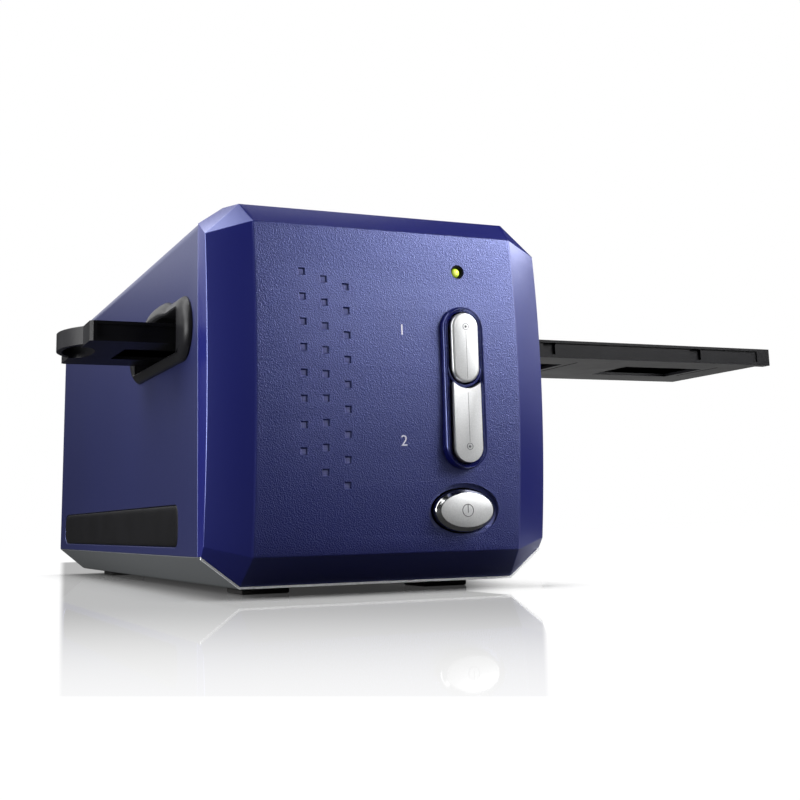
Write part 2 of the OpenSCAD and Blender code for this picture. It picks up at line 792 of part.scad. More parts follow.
module film_chassis() color([0.14, 0.14, 0.15]) difference() {
    union() {
        block([-tunnel_x, tunnel_near - guide_t, tunnel_low - plate_t],
              [tunnel_x, tunnel_far + guide_t, tunnel_low]);
        for (y = [tunnel_near - guide_t, tunnel_far])
            block([-tunnel_x, y, tunnel_low - eps], [tunnel_x, y + guide_t, tunnel_high]);
        both_sides() for (y = [post_near, post_far])
            block([tunnel_x - post, y, pad_z], [tunnel_x, y + post, tunnel_low - eps]);
    }
    gate(tunnel_low - 10, tunnel_low + 10);
    // Window for the detent
    block([slide_x - 6, tunnel_near - guide_t - 1, tunnel_low + 1.2],
          [slide_x + 6, tunnel_near + 1, tunnel_high - 1.2]);
}

module tunnel_cover() color([0.14, 0.14, 0.15]) difference() {
    block([-tunnel_x, tunnel_near - guide_t, tunnel_high],
          [tunnel_x, tunnel_far + guide_t, tunnel_high + 2.2]);
    gate(tunnel_high - 1, tunnel_high + 10);
}

module detent_spring() color([0.7, 0.7, 0.72]) {
    y = tunnel_near - guide_t - 0.5;
    block([slide_x - 14, y, tunnel_low + 1.6], [slide_x + 14, y + 0.5, tunnel_high - 1.6]);
    rod_along_z(slide_x, tunnel_near - 1.6 + slide_gap / 3, tunnel_low + 1.6, 1.6,
                tunnel_high - tunnel_low - 3.2);
    block([slide_x - 1, y, tunnel_low + 1.6], [slide_x + 1, tunnel_near - 1.6, tunnel_high - 1.6]);
}

// ---- the scan unit and its guides ----

module scan_frame() color([0.55, 0.56, 0.58]) difference() {
    union() {
        block([-cheek_x - cheek_t, rod_y - 8, deck_z],
              [cheek_x + cheek_t, rail_y + 8, deck_z + deck_t]);
        for (s = [-1, 1]) {
            x0 = s > 0 ? cheek_x : -cheek_x - cheek_t;
            block([x0, rod_y - 7, deck_z], [x0 + cheek_t, rod_y + 7, rod_z + rod_r + 4]);
            x1 = s > 0 ? cheek_x - 4 : -cheek_x - cheek_t;
            block([x1, rail_y - 6, deck_z],
                  [x1 + cheek_t + 4, rail_y + 6, unit_z - 2 * rail_t]);
        }
    }
    rod_along_x(-half, rod_y, rod_z, rod_r + touch / 2, body_w);
    both_sides() for (y = frame_bolts) rod_along_z(frame_bolt_x, y, 0, screw_hole, 12);
    rod_along_z(bracket_bolt[0], bracket_bolt[1], 0, screw_hole, 12);
    for (x = [motor_x, idler_x]) rod_along_z(x, gear_y, 0, pin_r + touch / 2, 20);
}

module guide_rod() color([0.8, 0.8, 0.82])
    rod_along_x(-cheek_x - cheek_t, rod_y, rod_z, rod_r, 2 * (cheek_x + cheek_t));

module guide_rail() color([0.75, 0.75, 0.78])
    block([-cheek_x - cheek_t, rail_y - rail_t / 2, unit_z - 2 * rail_t],
          [cheek_x + cheek_t, rail_y + rail_t / 2, unit_z - rail_t]);

unit_x0 = gate_x - unit_w / 2;
unit_x1 = gate_x + unit_w / 2;
lug = 6;
shelf_z = unit_z + 1;
lens_r = 10;
lens_y = 132;
lens_l = 24;
lens_bore = 6.5;
lens_seat = 8;
lens_seat_l = 5;
glass_t = 3;
seat_l = 14;
mirror_seat = 1.5;
mirror_l = 19;
mirror_t = 1.8;
lamp_half = 17;
shell_t = 2;
board_space = 4;
chip_w = 10;
chip_l = 32;
arm_z = tunnel_high + 16;
lamp_z = arm_z - 3;
lamp_foot = tunnel_high + 4;
web_y = tunnel_far + guide_t + 2.5;
web_t = 4;
unit_top = lens_z + 18;

module unit_frame() color([0.12, 0.12, 0.13]) difference() {
    union() {
        block([unit_x0, unit_front, unit_z], [unit_x1, unit_rear, unit_z + shell_t]);
        for (x = [unit_x0, unit_x1 - shell_t])
            block([x, unit_front, unit_z], [x + shell_t, unit_rear, unit_top]);
        for (y = [unit_front, unit_rear - shell_t])
            block([unit_x0, y, unit_z], [unit_x1, y + shell_t, unit_top]);
        // Web behind the tunnel, and the arm that carries the lamp over it
        block([unit_x0, web_y, unit_top - 2], [unit_x1, web_y + web_t, arm_z + 3]);
        block([unit_x0, unit_front - 2, arm_z], [unit_x1, web_y + web_t, arm_z + 3]);
        // Lugs for the rod bushes, and the shoe on the flat rail
        for (x = [unit_x0, unit_x1 - lug])
            block([x, rod_y - lug, rod_z - lug], [x + lug, rod_y + lug, unit_z + eps]);
        block([gate_x - 1.5 * rail_t, rail_y - rail_t, unit_z - rail_t + slide_gap],
              [gate_x + 1.5 * rail_t, rail_y + rail_t, unit_z]);
        // Mirror seat, lens saddle and the sensor board's posts
        along_x(unit_x0, unit_w) polygon([[unit_front, unit_z], [holder_y + seat_l, unit_z],
            [holder_y + seat_l, lens_z - seat_l - mirror_seat],
            [unit_front, lens_z + holder_y - unit_front - mirror_seat]]);
        block([unit_x0, lens_y + 4, unit_z], [unit_x1, lens_y + lens_l - 4, lens_z - 4]);
        for (x = [-8.5, 8.5], z = [unit_z + 6, unit_top - 4])
            rod_along_y(gate_x + x, unit_rear - board_space, z, 2, board_space - shell_t / 2);
        // Shelf under the end of the ribbon
        block([gate_x - 6, unit_rear - 1, unit_z - 2], [gate_x, board_front + 12, shelf_z]);
    }
    rod_along_x(-half, rod_y, rod_z, bush_r + touch / 2, body_w);
    rod_along_y(gate_x, lens_y - 2, lens_z, lens_r + touch, lens_l + 6);
}

module rod_bushes() color([0.72, 0.52, 0.25]) for (x = [unit_x0, unit_x1 - lug]) difference() {
    rod_along_x(x, rod_y, rod_z, bush_r, lug);
    rod_along_x(x - 1, rod_y, rod_z, rod_r + run_gap, lug + 2);
}

module lamp_housing() color([0.85, 0.85, 0.86]) difference() {
    block([unit_x0 + shell_t, holder_y - lamp_half, lamp_foot + 1],
          [unit_x1 - shell_t, holder_y + lamp_half, arm_z]);
    block([unit_x0 + 2 * shell_t, holder_y - lamp_half + shell_t, lamp_foot],
          [unit_x1 - 2 * shell_t, holder_y + lamp_half - shell_t, lamp_z]);
}

module lamp_board() color([0.9, 0.9, 0.85]) {
    block([unit_x0 + 2 * shell_t + 1, holder_y - lamp_half + shell_t + 1, lamp_z - board_t],
          [unit_x1 - 2 * shell_t - 1, holder_y + lamp_half - shell_t - 1, lamp_z]);
    for (i = [-2 : 2]) let (y = holder_y + i * (lamp_half - shell_t - 4) / 2)
        block([gate_x - 1.5, y - 1.2, lamp_z - board_t - 1.2],
              [gate_x + 1.5, y + 1.2, lamp_z - board_t]);
}

// First-surface mirror at 45 degrees under the window
module scan_mirror() color([0.85, 0.88, 0.92])
    translate([gate_x, holder_y, lens_z]) rotate([-45, 0, 0])
        translate([0, 0, mirror_t / 2 - 1])
            cube([unit_w - 2 * shell_t - 1, mirror_l, mirror_t], center = true);

module lens_barrel() color([0.1, 0.1, 0.11]) difference() {
    rod_along_y(gate_x, lens_y, lens_z, lens_r, lens_l);
    rod_along_y(gate_x, lens_y - 1, lens_z, lens_bore, lens_l + 2);
    for (y = [lens_y - 1, lens_y + lens_l - lens_seat_l])
        rod_along_y(gate_x, y, lens_z, lens_seat, lens_seat_l + 1);
}
module lens_glass() color([0.6, 0.75, 0.85, 0.5])
    for (y = [lens_y + lens_seat_l - glass_t - touch, lens_y + lens_l - lens_seat_l + touch])
        rod_along_y(gate_x, y, lens_z, lens_seat - touch / 2, glass_t);

module sensor_board() color([0.05, 0.3, 0.15])
    block([unit_x0 + shell_t + 0.5, unit_rear - board_space - board_t, unit_z + shell_t + 1],
          [unit_x1 - shell_t - 0.5, unit_rear - board_space, unit_top - 1]);
module image_sensor() color([0.2, 0.2, 0.25])
    block([gate_x - chip_w / 2, unit_rear - 2 * board_space - board_t, lens_z - chip_l / 2],
          [gate_x + chip_w / 2, unit_rear - board_space - board_t, lens_z + chip_l / 2]);

// ---- the drive ----

// Gear outline with involute flanks, a tooth centred on angle 0
press_angle = 25;
function involute(rb, t) = [rb * (cos(t) + t * PI / 180 * sin(t)),
                            rb * (sin(t) - t * PI / 180 * cos(t))];
function turned(p, a) = [p[0] * cos(a) - p[1] * sin(a), p[0] * sin(a) + p[1] * cos(a)];
function flank(teeth, steps) = let (
    rp = gear_m * teeth / 2, rb = rp * cos(press_angle), ra = rp + 0.9 * gear_m,
    end = sqrt(pow(ra / rb, 2) - 1) * 180 / PI,
    lead = 90 / teeth - backlash / 4 / rp * 180 / PI
           + (tan(press_angle) - press_angle * PI / 180) * 180 / PI)
    [for (i = [0 : steps]) turned(involute(rb, end * i / steps), -lead)];
function gear_tooth(teeth) = let (f = flank(teeth, 4), rr = gear_m * (teeth / 2 - 1.15),
    a = atan2(f[0][1], f[0][0]))
    concat([[rr * cos(a), rr * sin(a)]], f, [for (i = [4 : -1 : 0]) [f[i][0], -f[i][1]]],
           [[rr * cos(a), -rr * sin(a)]]);
module gear_outline(teeth) polygon([for (k = [0 : teeth - 1], p = gear_tooth(teeth))
                                    turned(p, k * 360 / teeth)]);

module motor_can() color([0.7, 0.7, 0.72]) difference() {
    union() {
        rod_along_z(motor_x, motor_y, mount_z + bracket_t, motor_d / 2, motor_h);
        rod_along_z(motor_x, motor_y, mount_z, boss_can_r, bracket_t + eps);
    }
    rod_along_z(motor_x, motor_y, mount_z - 1, shaft_r + run_gap, shaft_in + 3);
}

bracket_x = motor_x - motor_d / 2 + 1;
bracket_y = motor_y + motor_d / 2 + 1.5;

module motor_bracket() color([0.6, 0.6, 0.62]) difference() {
    union() {
        block([bracket_x, motor_y - motor_d / 2 - 0.5, mount_z],
              [motor_x + motor_d / 2 - 1.5, bracket_y, mount_z + bracket_t]);
        block([bracket_x, motor_y + 3, deck_z + deck_t],
              [bracket_x + bracket_t, bracket_y, mount_z + eps]);
        block([bracket_x, motor_y + 3, deck_z + deck_t],
              [motor_x, bracket_y, deck_z + deck_t + bracket_t]);
    }
    rod_along_z(motor_x, motor_y, mount_z - 1, boss_can_r + touch, bracket_t + 3);
    rod_along_z(bracket_bolt[0], bracket_bolt[1], 0, screw_hole, 18);
}

module motor_shaft() color([0.75, 0.75, 0.78])
    rod_along_z(motor_x, motor_y, gear_z - 1, shaft_r, mount_z + shaft_in + 1 - gear_z);

module pinion() color([0.8, 0.65, 0.3]) translate([motor_x, motor_y, gear_z - 0.5])
    difference() {
        linear_extrude(gear_t + 1) rotate(270 + 180 / pinion_teeth) gear_outline(pinion_teeth);
        rod_along_z(0, 0, -1, shaft_r + touch / 5, 10);
    }

module gear_shaft() color([0.75, 0.75, 0.78])
    rod_along_z(motor_x, gear_y, deck_z, pin_r, gear_z + gear_t + 1.5 - deck_z);

module pulley(z) {
    rod_along_z(0, 0, z, pulley_r + 1.6, 1);
    rod_along_z(0, 0, z, pulley_r, belt_w + 2.6);
    rod_along_z(0, 0, z + belt_w + 1.6, pulley_r + 1.6, 1);
}

module reduction_gear() color([0.88, 0.88, 0.85]) translate([motor_x, gear_y, 0]) difference() {
    union() {
        pulley(pulley_z);
        translate([0, 0, gear_z - 0.5 - eps]) cylinder(r = 4, h = 1);
        translate([0, 0, gear_z]) linear_extrude(gear_t) rotate(90) gear_outline(gear_teeth);
    }
    rod_along_z(0, 0, pulley_z - 1, pin_r + run_gap, 30);
}

module idler_shaft() color([0.75, 0.75, 0.78])
    rod_along_z(idler_x, gear_y, deck_z, pin_r, pulley_z + belt_w + 4 - deck_z);

module idler_pulley() color([0.88, 0.88, 0.85]) translate([idler_x, gear_y, 0]) difference() {
    pulley(pulley_z);
    rod_along_z(0, 0, pulley_z - 1, pin_r + run_gap, 30);
}

module belt_loop(r) {
    for (x = [motor_x, idler_x]) translate([x, gear_y]) circle(r);
    translate([motor_x, gear_y - r]) square([idler_x - motor_x, 2 * r]);
}
module drive_belt() color([0.07, 0.07, 0.07]) translate([0, 0, pulley_z + 1.3])
    linear_extrude(belt_w) difference() {
        belt_loop(belt_in + belt_t);
        belt_loop(belt_in);
    }

module belt_clamp() color([0.5, 0.5, 0.52]) difference() {
    block([gate_x - 5, belt_near - 2.4, pulley_z + 1.3],
          [gate_x + 5, belt_near + 2.4, unit_z]);
    block([gate_x - 6, belt_near - belt_t / 2 - slide_gap, 0],
          [gate_x + 6, belt_near + belt_t / 2 + slide_gap, pulley_z + belt_w + 1.6]);
}

// ---- electronics and fasteners ----

socket_rear = rear_at(board_z + 8) - 0.4;
socket_z = board_z + board_t + socket_h / 2;
jack_in = 9;
usb_hole = 4.2;
usb_tongue = 2.8;

module main_board() color([0.05, 0.3, 0.15]) difference() {
    block([-board_x, board_front, board_z], [board_x, rear_at(board_z) - 6, board_z + board_t]);
    both_sides() for (y = board_bolts) rod_along_z(board_x - 4, y, 0, screw_hole, 30);
}

big_chip = 14;
big_chip_x = -19;
can_y = 19;
small_chip = 8;
can_r = 3;
can_h = 8;
plug_h = 4;
ribbon_x = -4.5;
ribbon_w = 8;
ribbon_t = 0.3;
ribbon_l = 11;

// A chip on the main board: middle, front edge, width, depth and height
module chip(x, y, w, l, h) block([x - w / 2, y, board_z + board_t],
                                 [x + w / 2, y + l, board_z + board_t + h]);

module board_chips() color([0.08, 0.08, 0.08]) {
    z = board_z + board_t;
    chip(big_chip_x, board_front + 4, big_chip, big_chip, 2);
    chip(small_chip - 2, board_front + 6, small_chip, small_chip, 1.6);
    chip(ribbon_x, board_front + 1, ribbon_w - 1, ribbon_w + 4, plug_h);
    for (x = [board_x - 12, board_x - 5])
        rod_along_z(x, board_front + can_y, z, can_r, can_h);
}

module usb_socket() color([0.8, 0.8, 0.82]) difference() {
    block([usb_x - usb_w / 2, socket_rear - usb_l, board_z + board_t],
          [usb_x + usb_w / 2, socket_rear, board_z + board_t + socket_h]);
    difference() {
        block([usb_x - usb_hole, socket_rear - jack_in, socket_z - usb_hole + 0.3],
              [usb_x + usb_hole, socket_rear + 1, socket_z + usb_hole - 0.3]);
        block([usb_x - usb_tongue, socket_rear - jack_in - 1, socket_z - usb_tongue / 2],
              [usb_x + usb_tongue, socket_rear - 1, socket_z + usb_tongue / 2]);
    }
}

module power_jack() color([0.06, 0.06, 0.06]) difference() {
    block([jack_x - jack_w / 2, socket_rear - jack_l, board_z + board_t],
          [jack_x + jack_w / 2, socket_rear, board_z + board_t + socket_h]);
    difference() {
        rod_along_y(jack_x, socket_rear - jack_in, socket_z, 3.2, jack_in + 3);
        rod_along_y(jack_x, socket_rear - jack_in - 1, socket_z, 1, jack_in);
    }
}

// Flat cable from the main board to the sensor board, folded once over its travel
module sensor_ribbon() color([0.85, 0.86, 0.9]) {
    t = ribbon_t;
    z0 = board_z + board_t + plug_h;
    z1 = shelf_z + slide_gap + t;
    x1 = gate_x + scan_travel + 4;
    y = board_front + 1.5;
    block([ribbon_x - ribbon_w / 2 + 0.5, y, z0], [x1, y + ribbon_l, z0 + t]);
    block([gate_x - 5, y, z1 - t], [x1, y + ribbon_l, z1]);
    translate([x1, y + ribbon_l, (z0 + z1) / 2]) rotate([90, 0, 0]) linear_extrude(ribbon_l)
        difference() {
            circle((z1 - z0) / 2);
            circle((z1 - z0) / 2 - t);
            translate([z0 - z1, z0 - z1]) square([z1 - z0, 2 * (z1 - z0)]);
        }
}

module screw_up(x, y, z, l) {
    rod_along_z(x, y, z, head_r, head_h);
    rod_along_z(x, y, z, screw_r, l);
}
module screw_down(x, y, z, l) {
    rod_along_z(x, y, z, head_r, head_h);
    rod_along_z(x, y, z - l, screw_r, l + eps);
}

module case_screws() color([0.2, 0.2, 0.22]) both_sides() for (y = [case_front, case_rear])
    screw_up(case_x, y, base_z + 0.2, 20);

module frame_screws() color([0.75, 0.75, 0.78]) {
    both_sides() {
        for (y = frame_bolts) screw_down(frame_bolt_x, y, deck_z + deck_t, 5);
        for (y = board_bolts) screw_down(board_x - 4, y, board_z + board_t, 6);
    }
    screw_down(bracket_bolt[0], bracket_bolt[1], deck_z + deck_t + bracket_t, 4);
    for (s = carrier_screws) {
        rod_along_y(s[0], bow_at(s[1]) + wall + 0.5, s[1], screw_r,
                    stem_end - bow_at(s[1]) - wall);
        rod_along_y(s[0], stem_end, s[1], head_r, head_h);
    }
}

module rear_screws() color([0.2, 0.2, 0.22]) both_sides() {
    y = rear_at(rear_screw_z) - rear_in + 0.1;
    rod_along_y(rear_screw_x, y - boss_deep + 2, rear_screw_z, screw_r, boss_deep - 2);
    rod_along_y(rear_screw_x, y, rear_screw_z, head_r, head_h / 2);
}

// ---- the assembly ----

place() front_fascia();
place() main_housing();
place() base_tray();
place() rear_panel();
place() slot_bezel_left();
place() slot_bezel_right();
place() side_inlay_left();
place() side_inlay_right();
place() rubber_feet();
place() upper_scan_button();
place() lower_scan_button();
place() power_button();
place() button_carrier();
place() button_board();
place() tact_switches();
place() status_led();
place() holder_base();
place() holder_cover();
place() window_frames();
place() slide_clips();
place() film_chassis();
place() tunnel_cover();
place() detent_spring();
place() scan_frame();
place() guide_rod();
place() guide_rail();
place() unit_frame();
place() rod_bushes();
place() lamp_housing();
place() lamp_board();
place() scan_mirror();
place() lens_barrel();
place() lens_glass();
place() sensor_board();
place() image_sensor();
place() belt_clamp();
place() motor_can();
place() motor_bracket();
place() motor_shaft();
place() pinion();
place() gear_shaft();
place() reduction_gear();
place() idler_shaft();
place() idler_pulley();
place() drive_belt();
place() main_board();
place() board_chips();
place() usb_socket();
place() power_jack();
place() sensor_ribbon();
place() case_screws();
place() frame_screws();
place() rear_screws();
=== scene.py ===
"""Desktop film scanner: the finished pieces, their materials and a plain studio."""

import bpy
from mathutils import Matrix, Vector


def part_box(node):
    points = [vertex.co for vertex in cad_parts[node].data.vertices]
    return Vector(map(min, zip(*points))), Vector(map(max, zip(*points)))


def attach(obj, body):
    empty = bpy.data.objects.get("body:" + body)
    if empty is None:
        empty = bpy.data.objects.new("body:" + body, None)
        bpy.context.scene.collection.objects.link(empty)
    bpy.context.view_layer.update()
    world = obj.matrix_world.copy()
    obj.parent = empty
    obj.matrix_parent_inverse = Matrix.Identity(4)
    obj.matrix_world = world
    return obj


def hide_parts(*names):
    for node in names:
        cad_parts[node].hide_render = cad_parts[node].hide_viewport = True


bl_info = {
    "name": "Film Scanner",
    "version": (1, 0, 0),
    "blender": (4, 5, 0),
    "location": "View3D > Sidebar > Scanner",
    "description": "Builds the shells, buttons, slot frames and slide holder of a film scanner",
    "category": "Object",
}

import math

import bmesh
import bpy
from bmesh.types import BMEdge, BMVert
from bpy.props import FloatProperty, FloatVectorProperty, IntProperty, PointerProperty
from mathutils import Matrix, Vector

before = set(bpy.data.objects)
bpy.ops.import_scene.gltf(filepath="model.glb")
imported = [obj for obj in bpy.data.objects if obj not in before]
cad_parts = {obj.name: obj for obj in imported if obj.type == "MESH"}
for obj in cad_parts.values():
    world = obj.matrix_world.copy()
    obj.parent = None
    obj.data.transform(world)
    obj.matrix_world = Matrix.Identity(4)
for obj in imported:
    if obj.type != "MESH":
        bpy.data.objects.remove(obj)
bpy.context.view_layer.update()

# ---- places -------------------------------------------------------------------------------
# Sizes of the object are in millimetres, counted from the middle of the body, the most
# forward line of the panel, and the table. at() turns such a place into Blender's metres.

MM = 0.001
QUARTER = math.pi / 2
WELD = 0.004
COVER_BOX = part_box("main_housing")
TRAY_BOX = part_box("base_tray")
HOLDER_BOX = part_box("holder_base")
HOLDER_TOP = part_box("holder_cover")[1].z / MM
MIDDLE_X = (COVER_BOX[0].x + COVER_BOX[1].x) / 2
TRAY_FRONT = 14.0
FRONT_Y = TRAY_BOX[0].y - TRAY_FRONT * MM
HALF = (COVER_BOX[1].x - COVER_BOX[0].x) / 2 / MM
TOP = COVER_BOX[1].z / MM
TRAY_FOOT = TRAY_BOX[0].z / MM
TRAY_TOP = COVER_BOX[0].z / MM
WALL = 2.2
REAR_TOP = 267.0
REAR_RAKE = 5.0

SEAM = 17.5
BEVEL_DEPTH = 7.4
PANEL_X = 43.9
PANEL_TOP = 111.85
PANEL_FOOT = 11.85
RIM_FOOT = TRAY_FOOT + 0.7
BOW = 0.0014
BOW_Z = 68.35
CHAMFER_X = 7.9
CHAMFER_Z = 5.6
TRAY_CHAMFER = 11.6
FACET_FOOT = 11.9
FACET_TOP = 10.5
FACET_X = 11.2

CONTROL_X = 24.0
SPLIT_Z = 68.4
BUTTON_W = 9.4
BUTTON_GAP = 0.5
SLOT_RADIUS = BUTTON_W / 2 + BUTTON_GAP
UPPER_TOP = 85.9
LOWER_FOOT = 38.9
BUTTON_FRONT = -2.6
SURROUND_W = 14.8
SURROUND_FOOT = 36.7
SURROUND_TOP = 88.1
SURROUND_FRONT = -1.6
DIVIDER = 0.9
POWER_Z = 24.3
POWER_W = 20.8
POWER_H = 13.2
POWER_HOLLOW = 3.6
POWER_GAP = 1.0
LIGHT_Z = 99.7
LIGHT_HOLE = 2.3
CUT_FROM = -5.0
CUT_DEPTH = 14.0

BEZEL_Z = 83.0
MOUTH_Z = 82.4
HOLDER_Y = 65.25
HOLDER_Z = HOLDER_BOX[0].z / MM
HOLDER_W = (HOLDER_BOX[1].y - HOLDER_BOX[0].y) / MM
SLIDE_X = 14.2
SLIDE_PITCH = 65.0
SLIDE_PLACES = [SLIDE_X + SLIDE_PITCH * i for i in (-1, 0, 1, 2)]
WINDOW_SHIFT = 3.0


def at(x, y, z):
    """The Blender place of a point of the object."""
    return Vector((MIDDLE_X + x * MM, FRONT_Y + y * MM, z * MM))


def panel_y(z):
    """How far the panel lies behind its most forward line at height z."""
    return BOW * (z - BOW_Z) ** 2


def rear_y(z):
    """The rear of the body at height z."""
    return REAR_TOP + REAR_RAKE * (TOP - z) / (TOP - TRAY_FOOT)


# ---- sizes and colours that a user would change -------------------------------------------


def colour(name, description, value):
    """A colour property with its default."""
    return FloatVectorProperty(name=name, description=description, default=value,
                               size=3, min=0.0, max=1.0, subtype="COLOR")


def length(name, description, millimetres):
    """A length property, written in millimetres."""
    return FloatProperty(name=name, description=description, default=millimetres * MM,
                         min=0.0, unit="LENGTH", precision=5)


class ScannerShape(bpy.types.PropertyGroup):
    """Edges and small forms of the scanner."""

    facet_round: length("Facet edges", "Rounding between the panel and its bevels", 0.28)
    rim_round: length("Rims", "Rounding of small rims and holes", 0.3)
    cover_round: length("Cover edges", "Rounding of the cover's chamfer edges", 2.2)
    holder_round: length("Holder edges", "Rounding of the slide holder", 0.35)
    dimple: length("Dimples", "Side of the square dimples in the panel", 2.4)
    dimple_depth: length("Dimple depth", "Depth of the square dimples", 0.5)
    rows: IntProperty(name="Panel rows", description="Rows of faces over the bowed panel",
                      default=16, min=4, max=40)


class ScannerFinish(bpy.types.PropertyGroup):
    """Colours of the scanner."""

    fascia: colour("Front", "Grained plastic of the front", (0.004, 0.005, 0.084))
    cover: colour("Cover", "Smooth plastic of the cover", (0.004, 0.005, 0.033))
    tray: colour("Tray", "Silver-gray plastic of the tray", (0.170, 0.180, 0.188))
    black: colour("Black parts", "Plastic of the holder and slot frames", (0.006, 0.006, 0.007))
    silver: colour("Buttons", "Satin metallic paint of the buttons", (0.62, 0.625, 0.63))
    light: colour("Status light", "Colour of the lit status light", (0.55, 0.80, 0.02))


class ScannerStudio(bpy.types.PropertyGroup):
    """Camera and lamps."""

    focal: FloatProperty(name="Focal length", description="Of the camera, for a 36 mm sensor",
                         default=54.24, min=10.0, subtype="DISTANCE_CAMERA", unit="CAMERA")
    lamps: FloatProperty(name="Lamps", description="Strength of all the lamps together",
                         default=1.0, min=0.0)
    room: FloatProperty(name="Room light", description="Even light from all round",
                        default=0.02, min=0.0, max=1.0)
    dim: FloatProperty(name="Dim side", description="The room's darker side in reflections",
                       default=0.02, min=0.0, max=1.0)
    mirror: FloatProperty(name="Table gloss", description="Mirror image on the table",
                          default=0.56, min=0.0, max=1.0)


# ---- shader expressions -------------------------------------------------------------------


def arithmetic(operation, swapped=False):
    """A method that makes one Math node, with its terms in order or swapped."""
    if swapped:
        return lambda self, other: self.math(operation, first=other)
    return lambda self, other: self.math(operation, other)


class Value:
    """A socket that turns Python arithmetic into Math nodes."""

    __add__ = __radd__ = arithmetic("ADD")
    __mul__ = __rmul__ = arithmetic("MULTIPLY")
    __sub__ = arithmetic("SUBTRACT")
    __rsub__ = arithmetic("SUBTRACT", swapped=True)
    __truediv__ = arithmetic("DIVIDE")
    __pow__ = arithmetic("POWER")

    def __init__(self, tree, socket):
        self.tree = tree
        self.socket = socket

    def math(self, operation, *others, first=None):
        """One Math node on this value and other terms, or with one term before it."""
        node = self.tree.nodes.new("ShaderNodeMath")
        node.operation = operation
        terms = [self, *others] if first is None else [first, self, *others]
        for slot, term in zip(node.inputs, terms):
            plug(self.tree, slot, term)
        return Value(self.tree, node.outputs[0])


def plug(tree, slot, term):
    """Gives a node's input a number, a colour or a link."""
    if isinstance(term, Value):
        tree.links.new(term.socket, slot)
    elif hasattr(slot.default_value, "__len__") and len(slot.default_value) == 4:
        slot.default_value = (*term, 1.0)
    else:
        slot.default_value = term


class Nodes:
    """A node tree under construction."""

    def __init__(self, tree):
        self.tree = tree
        tree.nodes.clear()

    def node(self, kind, settings=None, out=0, **inputs):
        """Any node: its settings first, then its inputs by name."""
        made = self.tree.nodes.new("ShaderNode" + kind)
        for key, value in (settings or {}).items():
            setattr(made, key, value)
        for key, value in inputs.items():
            plug(self.tree, made.inputs[key.replace("_", " ")], value)
        return Value(self.tree, made.outputs[out]) if made.outputs else None

    def both(self, kind, first, second, **inputs):
        """A node that takes two shaders."""
        made = self.node(kind, **inputs)
        slots = [slot for slot in made.socket.node.inputs if slot.type == "SHADER"]
        for slot, shader in zip(slots, (first, second)):
            plug(self.tree, slot, shader)
        return made

    def between(self, value, low, high):
        """0 at low, 1 at high, smooth in between."""
        return self.node("MapRange", {"interpolation_type": "SMOOTHSTEP"}, Value=value,
                         From_Min=low, From_Max=high)

    def within(self, value, rise, fall):
        """1 between two slopes, each from one number to another, and 0 outside them."""
        return self.between(value, *rise) * (1.0 - self.between(value, *fall))

    def rays(self):
        """1 for rays from the camera, and 1 for rays off a glossy or through a clear face."""
        seen = self.node("LightPath", out="Is Camera Ray")
        outputs = seen.socket.node.outputs
        bounced = Value(self.tree, outputs["Is Glossy Ray"]).math(
            "MAXIMUM", Value(self.tree, outputs["Is Transmission Ray"]))
        return seen, bounced


class Finish(Nodes):
    """A material under construction, on the object's own coordinates."""

    def __init__(self, name):
        self.material = bpy.data.materials.new(name)
        self.material.use_nodes = True
        super().__init__(self.material.node_tree)
        self.place = self.node("TexCoord", out="Object")

    def noise(self, size, detail=2.0, rough=0.5):
        """Noise whose lumps are about size millimetres across."""
        return self.node("TexNoise", Vector=self.place, Scale=1.0 / (size * MM), Detail=detail,
                         Roughness=rough)

    def cells(self, size, feature="SMOOTH_F1", **inputs):
        """Pebbles about size millimetres across."""
        return self.node("TexVoronoi", {"feature": feature}, out="Distance", Vector=self.place,
                         Scale=1.0 / (size * MM), **inputs)

    def axis(self, name):
        """A coordinate in millimetres, counted as in at()."""
        start = {"X": MIDDLE_X, "Y": FRONT_Y, "Z": 0.0}[name]
        return (self.node("SeparateXYZ", out=name, Vector=self.place) - start) / MM

    def mix(self, factor, first, second):
        """A colour between two."""
        made = self.tree.nodes.new("ShaderNodeMix")
        made.data_type = "RGBA"
        for index, term in ((0, factor), (6, first), (7, second)):
            plug(self.tree, made.inputs[index], term)
        return Value(self.tree, made.outputs[2])

    def bump(self, height, strength, depth):
        """A relief depth millimetres deep."""
        return self.node("Bump", Height=height, Strength=strength, Distance=depth * MM)

    def surface(self, **sockets):
        """Ends the material in one Principled shader."""
        self.node("OutputMaterial", Surface=self.node("BsdfPrincipled", **sockets))
        return self.material


MATERIALS = {}


def finish(maker, name=None):
    """Makes each material once, whoever asks for it; maker() says what its surface is like."""
    name = name or maker.__name__

    def once():
        if name not in MATERIALS:
            f = Finish(name)
            MATERIALS[name] = f.surface(**maker(f))
        return MATERIALS[name]

    return once


def plain(name, size, tones, rough, relief=None, detail=2.0, lumps=0.5, spread=None, **sockets):
    """A material of two tones, whose colour, roughness and relief follow one noise."""

    def maker(f):
        noise = f.noise(size, detail, lumps)
        tone = f.mix(f.between(noise, *spread) if spread else noise, *tones)
        if relief:
            sockets["Normal"] = f.bump(noise, *relief)
        return dict(Base_Color=tone, Roughness=rough[0] + rough[1] * noise, **sockets)

    return finish(maker, name)


def colours():
    """The colours that the user can change."""
    return bpy.context.scene.scanner_finish


def tint(base, factor, plus=0.0):
    """A colour made lighter or darker."""
    return tuple(c * factor + plus for c in base)


# The blue plastic's sheen is a little blue itself.
BLUE_SHEEN = {"IOR": 1.7, "Specular_Tint": (0.44, 0.51, 1.0)}


